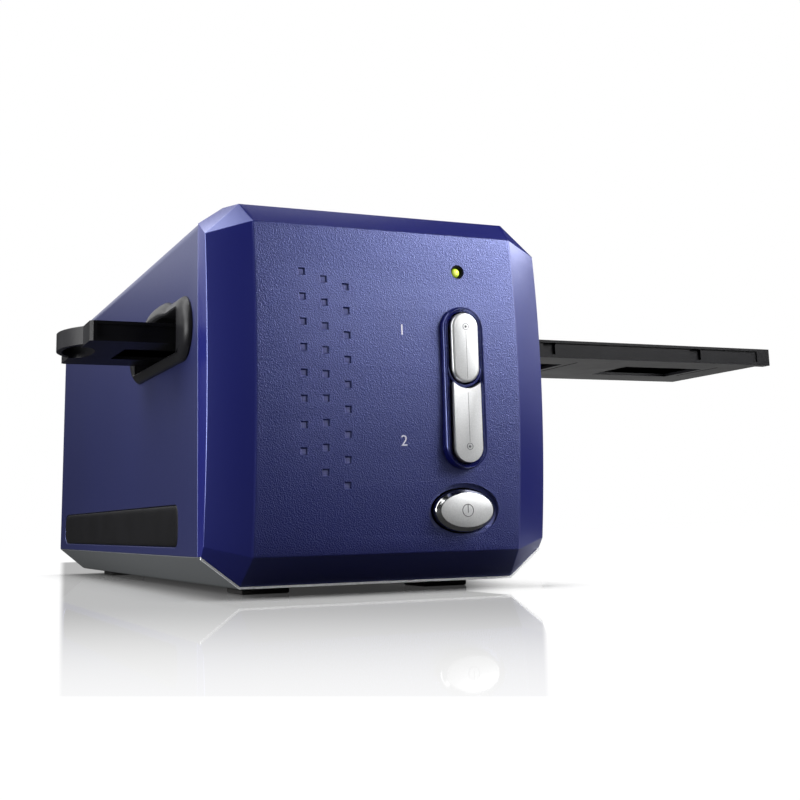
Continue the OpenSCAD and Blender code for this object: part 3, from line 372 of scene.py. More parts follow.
@finish
def leather_blue(f):
    """Deep blue plastic, fine leather grain fading on the bevels, a painted highlight in the
    dimples.
    """
    pebbles = f.cells(0.36, Smoothness=0.3)
    fine = f.noise(0.30, rough=0.6)
    folds = f.noise(1.3)
    x = f.axis("X").math("ABSOLUTE")
    z = f.axis("Z")
    foot = f.between(z, PANEL_FOOT - 0.6, PANEL_FOOT + 0.4)
    panel = f.between(PANEL_X - x, -0.6, 0.4) * foot
    level = panel * f.between(PANEL_TOP - z, -0.6, 0.4)
    amount = 0.12 + 0.88 * level + 0.4 * panel * (1.0 - level)
    grain = pebbles * 0.8 + fine * 0.7 + folds * 0.12
    base = tuple(colours().fascia)
    tone = f.mix(f.between(grain, 0.45, 0.95) + (1.0 - amount) * 0.5, tint(base, 0.7), base)
    sunk = f.axis("Y") - panel_y(z)
    pit = level * f.within(sunk, (0.3, 0.42), (0.8, 1.2))
    # Painted highlight: the dimples' floors are made lighter than the panel, against the shade
    # in them.
    tone = f.mix(pit * 0.9, tone, tint(base, 1.6, plus=0.085))
    drift = f.mix(f.between(f.noise(38.0), 0.3, 0.7) * 0.22, tone, tint(base, 1.3))
    dull = 0.27 + 0.10 * amount + 0.12 * amount * f.between(fine, 0.3, 0.8)
    return dict(Base_Color=drift, Roughness=dull, Specular_IOR_Level=0.85, **BLUE_SHEEN,
                Normal=f.bump(grain * amount * (1.0 - 0.8 * pit), 0.9, 0.13))


@finish
def smooth_blue(f):
    """The same blue without the grain, on the cover's long walls."""
    peel = f.noise(1.1)
    dust = f.noise(0.3, detail=1.0)
    base = tuple(colours().cover)
    tone = f.mix(f.between(f.noise(60.0), 0.3, 0.7) * 0.3, base, tint(base, 1.25))
    return dict(Base_Color=tone, Roughness=0.34 + 0.10 * dust, Specular_IOR_Level=0.75,
                **BLUE_SHEEN, Normal=f.bump(peel + 0.5 * dust, 0.12, 0.04))


@finish
def gloss_blue(f):
    """Polished blue of the ring around the buttons."""
    base = tint(colours().fascia, 0.8)
    wave = f.noise(2.2)
    tone = f.mix(f.between(f.noise(9.0), 0.35, 0.65) * 0.4, base, tint(base, 1.3))
    return dict(Base_Color=tone, Roughness=0.22 + 0.08 * wave, Specular_IOR_Level=0.75,
                **BLUE_SHEEN, Normal=f.bump(wave, 0.08, 0.05))


@finish
def satin_silver(f):
    """Metallic paint with fine flakes."""
    flakes = f.node("TexVoronoi", {"feature": "F1"}, out="Color", Vector=f.place,
                    Scale=1.0 / (0.09 * MM))
    sparkle = f.node("SeparateColor", out=0, Color=flakes)
    mottle = f.noise(0.42, rough=0.6)
    base = tuple(colours().silver)
    tone = f.mix(f.between(mottle * 0.7 + sparkle * 0.3, 0.35, 0.7) * 0.5, base,
                 tint(base, 0.72))
    return dict(Base_Color=tone, Metallic=0.8, Roughness=0.32 + 0.10 * sparkle,
                Normal=f.bump(mottle + 0.2 * sparkle, 0.35, 0.05))


@finish
def polished_silver(f):
    """Metal of the power button: a satin face inside a polished shoulder darkened as painted
    shade.
    """
    mottle = f.noise(0.40, rough=0.6)
    x = (f.axis("X") - CONTROL_X) / (POWER_W / 2 - POWER_SHOULDER)
    z = (f.axis("Z") - POWER_Z) / (POWER_H / 2 - POWER_SHOULDER)
    edge = f.between((x * x + z * z) ** 0.5, 0.985, 1.01)
    base = tint(colours().silver, 1.06)
    tone = f.mix(f.between(mottle, 0.35, 0.7) * 0.4, base, tint(base, 0.75))
    # Painted shade: the shoulder's colour is darker than the face's; its gloss and metal are its
    # own.
    tone = f.mix(edge, tone, tint(base, 0.6))
    return dict(Base_Color=tone, Metallic=0.8 + 0.2 * edge,
                Roughness=0.36 + 0.06 * mottle - 0.24 * edge,
                Normal=f.bump(mottle * (1.0 - 0.7 * edge), 0.3, 0.04))


# The tray's front lip, light silver as a painted highlight along the front's lower edge.
painted_highlight_silver = plain("painted_highlight_silver", 0.3, ((0.80, 0.81, 0.82), (0.90, 0.91, 0.92)),
                      (0.35, 0.1), (0.1, 0.02), lumps=0.6, spread=(0.35, 0.7),
                      Specular_IOR_Level=0.6)


@finish
def silver_gray(f):
    """Silver-gray plastic of the tray, with a faint metal speckle."""
    speckle = f.noise(0.28, rough=0.7)
    texture = f.noise(0.8)
    base = tuple(colours().tray)
    tone = f.mix(f.between(speckle, 0.45, 0.75) * 0.35, base, tint(base, 1.35))
    return dict(Base_Color=tone, Metallic=0.35, Roughness=0.40 + 0.12 * texture,
                Normal=f.bump(texture + 0.4 * speckle, 0.15, 0.05))


@finish
def moulded_black(f):
    """Satin black plastic with a spark-eroded texture."""
    pits = f.noise(0.22, detail=3.0, rough=0.65)
    broad = f.noise(14.0)
    base = tuple(colours().black)
    tone = f.mix(f.between(broad, 0.3, 0.7) * 0.5, base, tint(base, 1.6))
    return dict(Base_Color=tone, Roughness=0.27 + 0.12 * pits, Specular_IOR_Level=0.12,
                Normal=f.bump(pits, 0.22, 0.03))


@finish
def holder_black(f):
    """Dense black plastic of the slide holder, with faint flow marks."""
    pits = f.noise(0.3, detail=3.0, rough=0.6)
    flow = f.noise(9.0, detail=3.0)
    base = tuple(colours().black)
    tone = f.mix(f.between(flow, 0.3, 0.7) * 0.6, base, tint(base, 1.5))
    return dict(Base_Color=tone, Roughness=0.30 + 0.12 * pits + 0.08 * flow,
                Specular_IOR_Level=0.1, Normal=f.bump(pits, 0.15, 0.03))


@finish
def soft_black(f):
    """Matt black of the side inlays."""
    pits = f.noise(0.35, detail=3.0, rough=0.6)
    base = tint(colours().black, 0.5)
    tone = f.mix(f.between(f.noise(20.0), 0.35, 0.65) * 0.4, base, tint(base, 2.0))
    return dict(Base_Color=tone, Roughness=0.42 + 0.12 * pits, Specular_IOR_Level=0.1,
                Normal=f.bump(pits, 0.2, 0.04))


# The feet, the felts and the belt.
foot_rubber = plain("foot_rubber", 0.5, ((0.010, 0.010, 0.010), (0.030, 0.029, 0.028)),
                    (0.72, 0.15), (0.4, 0.08), detail=4.0, lumps=0.7, spread=(0.4, 0.8))


@finish
def lit_lens(f):
    """Yellow-green lens of the status light, brightest in its middle."""
    x = f.axis("X") - CONTROL_X
    z = f.axis("Z") - LIGHT_Z
    away = (x * x + z * z) ** 0.5
    core = 1.0 - f.between(away, 0.2, 1.5)
    base = tuple(colours().light)
    glow = f.mix(core, tint(base, 0.35), (0.95, 1.0, 0.25))
    return dict(Base_Color=base, Roughness=0.15 + 0.05 * f.noise(0.5), Emission_Color=glow,
                Emission_Strength=0.9)


@finish
def print_silver(f):
    """Light gray printing on the panel, thinned a little by its grain."""
    worn = f.between(f.noise(0.25), 0.25, 0.55)
    tone = f.mix(worn, (0.40, 0.40, 0.48), (0.66, 0.66, 0.72))
    return dict(Base_Color=tone, Roughness=0.5 + 0.1 * worn)


# The engraved marks of the buttons; and painted shade, near black, for the depth of the gap
# round the status light.
engraved_gray = plain("engraved_gray", 0.4, ((0.10, 0.10, 0.11), (0.20, 0.20, 0.21)),
                      (0.42, 0.1), Metallic=0.3)
painted_shade_well = plain("painted_shade_well", 0.6, ((0.002, 0.002, 0.004), (0.006, 0.006, 0.010)), (0.6, 0.2),
                  Specular_IOR_Level=0.2)


def brushed(name, base, along, roughness):
    """Metal with fine scratches along one axis."""

    def maker(f):
        squeeze = [0.02 if axis == along else 1.0 for axis in "XYZ"]
        stretched = f.node("Mapping", Vector=f.place, Scale=squeeze)
        scratch = f.node("TexNoise", Vector=stretched, Scale=1.0 / (0.25 * MM), Detail=3.0)
        tone = f.mix(f.between(scratch, 0.3, 0.7) * 0.4, base, tint(base, 0.75))
        return dict(Base_Color=tone, Metallic=0.95, Roughness=roughness + 0.15 * scratch,
                    Normal=f.bump(scratch, 0.08, 0.02))

    return finish(maker, name)


ground_steel = brushed("ground_steel", (0.56, 0.57, 0.60), "X", 0.2)
pressed_steel = brushed("pressed_steel", (0.40, 0.41, 0.43), "Y", 0.35)


@finish
def sintered_bronze(f):
    """Oily porous bronze."""
    pores = f.cells(0.3, feature="F1")
    tone = f.mix(f.between(pores, 0.1, 0.6), (0.16, 0.085, 0.03), (0.46, 0.27, 0.10))
    return dict(Base_Color=tone, Metallic=0.9, Roughness=0.4 + 0.2 * pores,
                Normal=f.bump(pores, 0.2, 0.03))


@finish
def board_green(f):
    """Solder mask with faint tracks under it."""
    tracks = f.node("TexBrick", {"offset": 0.5}, out="Fac", Vector=f.place,
                    Scale=1.0 / (9.0 * MM), Mortar_Size=0.02)
    mottle = f.noise(3.0)
    base = f.mix(mottle, (0.004, 0.070, 0.025), (0.008, 0.110, 0.040))
    tone = f.mix(tracks * 0.5, base, (0.02, 0.20, 0.08))
    return dict(Base_Color=tone, Roughness=0.28 + 0.1 * mottle, Normal=f.bump(tracks, 0.2, 0.03))


# Chips, and the unpainted plastic of gears and lamp housing.
chip_black = plain("chip_black", 0.2, ((0.010, 0.010, 0.011), (0.028, 0.028, 0.030)),
                   (0.55, 0.2), (0.3, 0.03), detail=3.0)
natural_white = plain("natural_white", 5.0, ((0.62, 0.62, 0.58), (0.74, 0.74, 0.70)),
                      (0.35, 0.15), (0.1, 0.05), detail=3.0)


@finish
def coated_glass(f):
    """Lens glass with a violet coating."""
    rim = f.noise(6.0)
    tone = f.mix(rim, (0.20, 0.16, 0.34), (0.10, 0.22, 0.30))
    return dict(Base_Color=tone, Roughness=0.03 + 0.03 * rim, Coat_Weight=0.6 + 0.2 * rim)


# The scan unit's front-surface mirror.
silvered_glass = plain("silvered_glass", 8.0, ((0.86, 0.88, 0.90), (0.78, 0.80, 0.83)),
                       (0.03, 0.05), detail=3.0, Metallic=1.0)


# ---- mesh helpers -------------------------------------------------------------------------


def shape():
    """The sizes that the user can change."""
    return bpy.context.scene.scanner_shape


def moved(bm, offset, verts=None):
    """Shifts a bmesh, or some of its vertices."""
    bmesh.ops.translate(bm, verts=verts or bm.verts[:], vec=offset)
    return bm


def turned(bm, angle, axis):
    """Turns a bmesh about an axis through zero."""
    bmesh.ops.rotate(bm, verts=bm.verts[:], matrix=Matrix.Rotation(angle, 3, axis))
    return bm


def circle(segments, radius=1.0, **options):
    """A flat circle in X and Y, with an edge square to each axis."""
    bm = bmesh.new()
    bmesh.ops.create_circle(bm, segments=segments, radius=radius, **options)
    return turned(bm, math.pi / segments, "Z")


def block(low, high):
    """A solid box between two places of the object."""
    bm = bmesh.new()
    bmesh.ops.create_cube(bm, size=1.0)
    low, high = at(*low), at(*high)
    bmesh.ops.scale(bm, verts=bm.verts[:], vec=high - low)
    return moved(bm, (low + high) / 2)


def rod(start, axis, radius, span, segments=40):
    """A solid rod along an axis, from a place of the object."""
    bm = bmesh.new()
    bmesh.ops.create_cone(bm, cap_ends=True, segments=segments, radius1=radius * MM,
                          radius2=radius * MM, depth=span * MM)
    moved(bm, (0, 0, span * MM / 2))
    if axis == "Y":
        turned(bm, -QUARTER, "X")
    return moved(bm, at(*start))


def only(geometry, kind):
    """The vertices or the edges of what an operator made."""
    return [part for part in geometry if isinstance(part, kind)]


def raised(bm, offset):
    """Extrudes a flat outline by an offset."""
    made = bmesh.ops.extrude_face_region(bm, geom=bm.faces[:])
    moved(bm, offset, only(made["geom"], BMVert))
    bmesh.ops.recalc_face_normals(bm, faces=bm.faces[:])
    return bm


def pulled_apart(bm, axis, offset):
    """Moves both halves of an outline away from its middle, along an axis."""
    for sign in (1, -1):
        shift = [0.0, 0.0, 0.0]
        shift[axis] = sign * offset
        moved(bm, shift, [v for v in bm.verts if v.co[axis] * sign > 0])
    return bm


def prism(kind, width, height, place, depth):
    """An upright pill or an oval, from a place of the object towards the rear."""
    bm = turned(circle(64, width * MM / 2, cap_ends=True), QUARTER, "X")
    if kind == "oval":
        bmesh.ops.scale(bm, verts=bm.verts[:], vec=(1.0, 1.0, height / width))
    else:
        pulled_apart(bm, 2, (height - width) * MM / 2)
    return moved(raised(bm, (0, depth * MM, 0)), at(*place))


def section(points, y0, y1):
    """A closed outline of X and Z, extruded from y0 to y1."""
    bm = bmesh.new()
    bm.faces.new([bm.verts.new(at(x, y0, z)) for x, z in points])
    return raised(bm, (0, (y1 - y0) * MM, 0))


def wrapped(points):
    """The convex solid round some places of the object, without needless edges."""
    bm = bmesh.new()
    for point in points:
        bm.verts.new(at(*point))
    bmesh.ops.convex_hull(bm, input=bm.verts[:])
    bmesh.ops.dissolve_limit(bm, angle_limit=math.radians(0.6), verts=bm.verts[:],
                             edges=bm.edges[:])
    return bm


def in_front(y):
    """Picks the vertices in front of a depth."""
    return lambda place: place.y < at(0, y, 0).y


def soften(bm, radius, segments=3, angle=20.0, where=None):
    """Rounds the edges sharper than an angle, in metres, all or those that where() takes."""
    edges = []
    for edge in bm.edges:
        if len(edge.link_faces) != 2 or edge.calc_face_angle(0.0) < math.radians(angle):
            continue
        if where is None or all(where(v.co) for v in edge.verts):
            edges.append(edge)
    bmesh.ops.bevel(bm, geom=edges, offset=radius, offset_type="OFFSET", affect="EDGES",
                    segments=segments, profile=0.5, clamp_overlap=True, material=-1)
    return bm


def as_mesh(bm, name):
    """Turns a bmesh into a mesh."""
    mesh = bpy.data.meshes.new(name)
    bm.to_mesh(mesh)
    bm.free()
    return mesh


def together(*parts):
    """Several solids in one bmesh."""
    whole = bmesh.new()
    for part in parts:
        mesh = as_mesh(part, "part")
        whole.from_mesh(mesh)
        bpy.data.meshes.remove(mesh)
    return whole


def linked(name, data):
    """A new object in the scene."""
    obj = bpy.data.objects.new(name, data)
    bpy.context.collection.objects.link(obj)
    return obj


def settled(obj):
    """A bmesh of an object with its modifiers applied."""
    bpy.context.view_layer.update()
    mesh = bpy.data.meshes.new_from_object(
        obj.evaluated_get(bpy.context.evaluated_depsgraph_get()))
    bm = bmesh.new()
    bm.from_mesh(mesh)
    bpy.data.meshes.remove(mesh)
    return bm


def combined(solid, tools, operation):
    """A solid with other solids cut out of it or joined to it."""
    base = linked("solid", as_mesh(solid, "solid"))
    helpers = [linked("tool", as_mesh(tool, "tool")) for tool in tools]
    for helper in helpers:
        step = base.modifiers.new("cut", "BOOLEAN")
        step.operation = operation
        step.solver = "EXACT"
        step.object = helper
    bm = settled(base)
    for obj in [base, *helpers]:
        bpy.data.meshes.remove(obj.data)
    bmesh.ops.remove_doubles(bm, verts=bm.verts[:], dist=WELD * MM)
    return bm


def carved(solid, *tools):
    """A solid less some others."""
    return combined(solid, tools, "DIFFERENCE")


def joined(solid, *tools):
    """A solid with some others."""
    return combined(solid, tools, "UNION")


def lofted(bm, stations, place):
    """Draws a ring of edges through stations; place() puts each vertex by its first spot."""
    spots = {vert: vert.co.copy() for vert in bm.verts}
    edges = bm.edges[:]
    for index, station in enumerate(stations):
        if index:
            made = bmesh.ops.extrude_edge_only(bm, edges=edges)["geom"]
            edges = only(made, BMEdge)
            spots = {vert: spots[next(e.other_vert(vert) for e in vert.link_edges
                                      if e.other_vert(vert) in spots)]
                     for vert in only(made, BMVert)}
        for vert, spot in spots.items():
            vert.co = place(spot, *station)
    return bm


def band(bm, stations, place):
    """A loft whose last ring is joined to its first."""
    lofted(bm, stations, place)
    bmesh.ops.bridge_loops(bm, edges=[e for e in bm.edges if len(e.link_faces) == 1])
    return bm


def piece(name, bm, material, body="scanner_body", stands_for=(), rim=None,
          smooth=32.0):
    """A finished piece from a bmesh, riding on a body."""
    bmesh.ops.recalc_face_normals(bm, faces=bm.faces[:])
    obj = linked(name, as_mesh(bm, name))
    obj.data.materials.append(material)
    obj.data.shade_smooth()
    obj.data.set_sharp_from_angle(angle=math.radians(smooth))
    if rim:
        bevel = obj.modifiers.new("rim", "BEVEL")
        bevel.width = rim
        bevel.segments = 3
        bevel.limit_method = "ANGLE"
        bevel.angle_limit = math.radians(smooth)
        bevel.harden_normals = True
    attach(obj, body)
    if stands_for:
        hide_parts(*stands_for)
    return obj


# ---- the front ----------------------------------------------------------------------------


def fascia_corners(side, rows):
    """One half of the front's corner points: the panel, the rim and the seam."""
    steps = [i / rows for i in range(rows + 1)]
    rim_low, rim_high = RIM_FOOT + FACET_FOOT, TOP - FACET_TOP
    panel = [PANEL_FOOT + (PANEL_TOP - PANEL_FOOT) * t for t in steps]
    rim = [rim_low + (rim_high - rim_low) * t for t in steps]
    foot_x = HALF - TRAY_CHAMFER
    points = [(PANEL_X, panel_y(z), z) for z in panel]
    points += [(HALF, BEVEL_DEPTH + panel_y(z), z) for z in rim]
    points += [(HALF - FACET_X, BEVEL_DEPTH + panel_y(TOP), TOP), (HALF - CHAMFER_X, SEAM, TOP),
               (HALF, SEAM, TOP - CHAMFER_Z), (HALF, SEAM, TRAY_TOP),
               (HALF, TRAY_FRONT - 0.2, TRAY_TOP),
               (foot_x, BEVEL_DEPTH + panel_y(RIM_FOOT), RIM_FOOT), (foot_x, SEAM, RIM_FOOT)]
    return [(side * x, y, z) for x, y, z in points]


def fascia_solid(rows, inset=0.0):
    """The faceted front as a solid, or its hollow when inset is the wall."""
    points = fascia_corners(-1, rows) + fascia_corners(1, rows)
    if not inset:
        return wrapped(points)
    middle = (TOP + RIM_FOOT) / 2
    shrink_x = (HALF - inset) / HALF
    shrink_z = (TOP - middle - inset) / (TOP - middle)
    return wrapped([(x * shrink_x, y + inset, middle + (z - middle) * shrink_z)
                    for x, y, z in points])


def arch(front, depth, segments):
    """The arched divider between the scan buttons, from a front plane to a depth."""
    return carved(rod((CONTROL_X, front, SPLIT_Z), "Y", SLOT_RADIUS + DIVIDER, depth, segments),
                  rod((CONTROL_X, front - 1, SPLIT_Z), "Y", SLOT_RADIUS, depth + 3, segments),
                  block((-HALF, front - 2, SPLIT_Z), (HALF, front + depth + 3, SPLIT_Z + 40)))


def button_slot(front, depth):
    """The pill slot of both scan buttons, with the arched divider left standing."""
    foot, top = LOWER_FOOT - BUTTON_GAP, UPPER_TOP + BUTTON_GAP
    slot = prism("pill", 2 * SLOT_RADIUS, top - foot, (CONTROL_X, front, (foot + top) / 2),
                 depth)
    return carved(slot, arch(front - 1, depth + 2, 64))


# Each column of dimples: its X, its top Z, the pitch and how many there are.
DIMPLE_COLUMNS = ((-29.2, 96.75, 7.78, 8), (-22.2, 94.7, 7.33, 9), (-15.1, 92.6, 7.55, 9))
DIMPLE_DRAFT = 0.42


def dimple_tools():
    """A small box for each dimple, with sides that slope in toward its floor."""
    side, depth = shape().dimple / MM / 2, shape().dimple_depth / MM
    boxes = []
    for x, top, pitch, count in DIMPLE_COLUMNS:
        for i in range(count):
            z = top - pitch * i
            level = panel_y(z)
            box = block((x - side, CUT_FROM, z - side), (x + side, level, z + side))
            floor = [f for f in box.faces if f.normal.y > 0.5]
            made = bmesh.ops.extrude_face_region(box, geom=floor)["geom"]
            bmesh.ops.delete(box, geom=floor, context="FACES_ONLY")
            for vert in only(made, BMVert):
                away = vert.co - at(x, level, z)
                vert.co = at(x, level + depth, z) + away * (1.0 - DIMPLE_DRAFT / side)
            boxes.append(box)
    return together(*boxes)


def front_shell():
    """The grained front: bowed panel, bevels, corner facets, dimples and openings."""
    rows = shape().rows
    solid = soften(fascia_solid(rows), shape().facet_round, segments=4, angle=12.0,
                   where=in_front(SEAM - 1))
    power = (CONTROL_X, CUT_FROM, POWER_Z)
    solid = carved(solid, fascia_solid(rows, WALL),
                   block((-HALF - 1, TRAY_FRONT - 0.2, 0), (HALF + 1, SEAM + 1, TRAY_TOP + 0.2)))
    solid = carved(
        solid, button_slot(CUT_FROM, CUT_DEPTH),
        prism("oval", POWER_W + POWER_HOLLOW, POWER_H + POWER_HOLLOW, power,
              1.0 + panel_y(POWER_Z) - CUT_FROM),
        prism("oval", POWER_W + POWER_GAP, POWER_H + POWER_GAP, power, CUT_DEPTH + 2),
        rod((CONTROL_X, CUT_FROM, LIGHT_Z), "Y", LIGHT_HOLE, CUT_DEPTH), dimple_tools())
    piece("front_shell", solid, leather_blue(),
          stands_for=["front_fascia"], rim=shape().rim_round, smooth=28.0)


# The ring's outer and inner rim, each as width, foot and top. Then its section from the outer
# rim (0) to the inner (1), and how far each point stands from the panel (0) to its front (1).
RING_RIMS = ((SURROUND_W, SURROUND_FOOT, SURROUND_TOP),
             (2 * SLOT_RADIUS, LOWER_FOOT - BUTTON_GAP, UPPER_TOP + BUTTON_GAP))
RING_SECTION = ((0.0, -0.6), (0.0, 0.12), (0.04, 0.42), (0.11, 0.70), (0.22, 0.91),
                (0.35, 1.0), (0.47, 0.96), (0.58, 0.82), (0.67, 0.70), (0.76, 0.65),
                (0.84, 0.69), (0.91, 0.74), (0.97, 0.71), (1.0, 0.60), (1.0, -1.6))


def ring_place(spot, inward, rise):
    """Where a vertex of the ring lies: how far in, and how far from panel to ring's front."""
    width, foot, top = (a + (b - a) * inward for a, b in zip(*RING_RIMS))
    z = (top - width / 2 if spot.y > 0 else foot + width / 2) + spot.y * width / 2
    level = panel_y(z)
    return at(CONTROL_X + spot.x * width / 2, level + rise * (SURROUND_FRONT - level), z)


def bridge():
    """The arched bar between the two scan buttons, rounded at its front."""
    front = SURROUND_FRONT * 0.72
    return soften(arch(front, 6, 96), 0.28 * MM, angle=40.0, where=in_front(front + 0.1))


def button_ring():
    """The raised ring round the scan buttons, with its arched bridge."""
    ring = band(circle(96), RING_SECTION, ring_place)
    piece("button_ring", together(ring, bridge()), gloss_blue(),
          smooth=50.0)


# ---- the buttons --------------------------------------------------------------------------


def scan_button(name, foot, top, hollow):
    """A pill button with a rounded face; the lower one is hollowed at its upper end."""
    body = prism("pill", BUTTON_W, top - foot, (CONTROL_X, BUTTON_FRONT, (top + foot) / 2), 6.3)
    if hollow:
        body = carved(body, rod((CONTROL_X, -9, SPLIT_Z), "Y", hollow, 20, 72))
    soften(body, 0.9 * MM, segments=5, angle=30.0, where=in_front(BUTTON_FRONT + 0.1))
    node = name + "_scan_button"
    piece(node + "_cap", body, satin_silver(), body=name + "_button",
          stands_for=[node])


def ring_mark(place, radius, wire):
    """A thin round ring that stands half out of a button's face."""
    bm = bmesh.new()
    bmesh.ops.create_circle(bm, segments=10, radius=wire * MM)
    moved(bm, (radius * MM, 0, 0))
    bmesh.ops.spin(bm, geom=bm.verts[:] + bm.edges[:], cent=(0, 0, 0), axis=(0, 1, 0),
                   angle=math.tau, steps=48, use_merge=True)
    return moved(bm, at(*place))


# For each scan button, the height of its dot and the two ends of its line.
BUTTON_MARKS = {"upper": (81.4, 80.0, SPLIT_Z - BUTTON_W / 2 + 1.2),
                "lower": (43.8, 45.2, 60.6)}


def button_mark(name, z, line_from, line_to):
    """The dot in a ring on a scan button, and the fine line to its other end."""
    face = BUTTON_FRONT
    ring = ring_mark((CONTROL_X + 0.2, face, z), 1.0, 0.10)
    dot = bmesh.new()
    bmesh.ops.create_uvsphere(dot, u_segments=16, v_segments=10, radius=0.42 * MM)
    bmesh.ops.scale(dot, verts=dot.verts[:], vec=(1.0, 0.5, 1.0))
    moved(dot, at(CONTROL_X + 0.2, face, z))
    low, high = sorted((line_from, line_to))
    line = block((CONTROL_X + 0.15, face - 0.03, low), (CONTROL_X + 0.27, face + 0.2, high))
    piece(name + "_button_mark", together(ring, dot, line), engraved_gray(),
          body=name + "_button")


# The power button's wall and shoulder, as how far each loop is drawn in and its depth
# behind the face's rim, and then its domed face, as shares of the face and heights before it.
POWER_WALL = ((0.0, 6.5), (0.0, 1.75), (0.06, 1.5), (0.22, 1.22), (0.5, 0.92), (0.85, 0.55),
              (1.12, 0.24), (1.24, 0.10), (1.32, 0.03), (1.42, 0.0))
POWER_FACE = ((0.97, 0.035), (0.9, 0.12), (0.75, 0.27), (0.55, 0.41), (0.35, 0.50),
              (0.15, 0.545), (0.04, 0.55))
POWER_RIM = 0.45
POWER_SHOULDER = POWER_WALL[-1][0]


def power_cap():
    """The oval power button: a low wall, a broad shoulder and a domed face."""
    wide, high = POWER_W / 2, POWER_H / 2
    loops = [(wide - inset, high - inset, POWER_RIM + depth) for inset, depth in POWER_WALL]
    last_wide, last_high, _ = loops[-1]
    loops += [(last_wide * share, last_high * share, POWER_RIM - rise)
              for share, rise in POWER_FACE]
    ring = bmesh.new()
    bmesh.ops.create_circle(ring, segments=96, radius=1.0)
    bm = lofted(ring, loops, lambda spot, reach_x, reach_z, y: at(
        CONTROL_X + spot.x * reach_x, y, POWER_Z + spot.y * reach_z))
    bmesh.ops.holes_fill(bm, edges=bm.edges[:])
    piece("power_cap", bm, polished_silver(), body="power_key",
          stands_for=["power_button"], smooth=50.0)
    return POWER_RIM - POWER_FACE[-1][1]


def power_mark(face):
    """The standby sign: a ring with an upright bar that starts in its top."""
    radius, wire = 1.85, 0.15
    ring = ring_mark((CONTROL_X, face + 0.06, POWER_Z), radius, wire)
    bar = block((CONTROL_X - 0.14, face - 0.04, POWER_Z - 0.75),
                (CONTROL_X + 0.14, face + 0.3, POWER_Z + radius + 0.1))
    piece("power_mark", together(ring, bar), engraved_gray(), body="power_key")


LENS_RADIUS, SLEEVE_BORE = 1.5, 1.7


def status_lens():
    """The light's domed lens, and the near-black sleeve it sits in, painted shade in the gap."""
    bm = bmesh.new()
    bmesh.ops.create_uvsphere(bm, u_segments=32, v_segments=20, radius=LENS_RADIUS * MM)
    level = panel_y(LIGHT_Z)
    moved(bm, at(CONTROL_X, level + 2, LIGHT_Z))
    stem = rod((CONTROL_X, level + 2, LIGHT_Z), "Y", LENS_RADIUS, 10)
    piece("status_lens", together(bm, stem), lit_lens(),
          stands_for=["status_led"])
    # Painted shade: the sleeve's near-black colour stands in for the depth of the gap round the
    # lens.
    sleeve = carved(rod((CONTROL_X, level + 0.5, LIGHT_Z), "Y", LIGHT_HOLE - 0.02, 3.2, 48),
                    rod((CONTROL_X, level - 1, LIGHT_Z), "Y", SLEEVE_BORE, 8, 48))
    piece("light_sleeve", sleeve, painted_shade_well(), rim=0.15 * MM)


NUMERALS = (("number_one", "1", 79.8), ("number_two", "2", 45.5))
NUMERAL_X, NUMERAL_SIZE = 3.3, 4.7


def numeral(name, text, z):
    """A printed number beside a button, a hair proud of the bowed panel."""
    curve = bpy.data.curves.new(name, "FONT")
    curve.body = text
    curve.size = NUMERAL_SIZE * MM
    curve.extrude = 0.02 * MM
    curve.align_x, curve.align_y = "CENTER", "CENTER"
    bm = settled(linked(name, curve))
    bpy.data.curves.remove(curve)
    moved(turned(bm, QUARTER, "X"), at(NUMERAL_X, -0.04, z))
    for vert in bm.verts:
        vert.co.y += panel_y(vert.co.z / MM) * MM
    piece(name, bm, print_silver())


# ---- the cover and the tray ---------------------------------------------------------------


def cover_outline(inset):
    """The cover's section, open below, as points of X and Z."""
    k = inset * 0.55
    right = [(HALF - inset, TRAY_TOP), (HALF - inset, TOP - CHAMFER_Z - k),
             (HALF - CHAMFER_X - k, TOP - inset)]
    return right + [(-x, z) for x, z in reversed(right)]


def tray_outline(inset):
    """The tray's section, open above."""
    foot = HALF - TRAY_CHAMFER - 0.35 * inset
    right = [(foot, TRAY_FOOT + inset), (HALF - 1.3 * inset, TRAY_TOP)]
    return [(-x, z) for x, z in reversed(right)] + right


def cut_rear(bm):
    """Cuts a body piece off along the raked rear."""
    low, high = at(0, rear_y(0), 0), at(0, rear_y(TOP), TOP)
    along = high - low
    normal = Vector((0, along.z, -along.y))
    bmesh.ops.bisect_plane(bm, geom=bm.verts[:] + bm.edges[:] + bm.faces[:], plane_co=low,
                           plane_no=normal, clear_outer=True)
    bmesh.ops.holes_fill(bm, edges=bm.edges[:])
    return bm


NECK_HEIGHT, NECK_LENGTH = 17.9, 67.6


def slot_tool():
    """The long hole through both walls of the cover, for the slot frames."""
    tool = prism("pill", NECK_HEIGHT, NECK_LENGTH, (0, 0, 0), 2 * HALF + 10)
    moved(tool, -at(0, 0, 0))
    turned(turned(tool, -QUARTER, "Z"), QUARTER, "X")
    return moved(tool, at(-HALF - 5, HOLDER_Y, BEZEL_Z))


INLAY_Y0, INLAY_Y1, INLAY_Z, INLAY_H = 41.5, 258.0, 21.5, 13.0
INLAY_SAGS = (4.4, 10.0)
INLAY_CORNER = 2 / 3.2
INLAY_DEPTH, INLAY_GAP = 1.2, 0.12


def inlay_rim(grow, drawn=0.0):
    """A long outline of Y and Z along a flank, with bowed and rounded ends."""
    h = INLAY_H / 2 + grow - drawn
    points = []
    ends = ((INLAY_Y0 - grow, 1), (INLAY_Y1 + grow, -1))
    for (end, away), sag in zip(ends, INLAY_SAGS):
        end += away * drawn * 1.8
        for i in range(17):
            turn = math.pi * (i / 16 - 0.5)
            bow = sag * (1.0 - max(0.0, math.cos(turn)) ** INLAY_CORNER)
            lift = math.copysign(abs(math.sin(turn)) ** INLAY_CORNER, math.sin(turn))
            points.append((end + away * bow, INLAY_Z + away * h * lift))
    return points


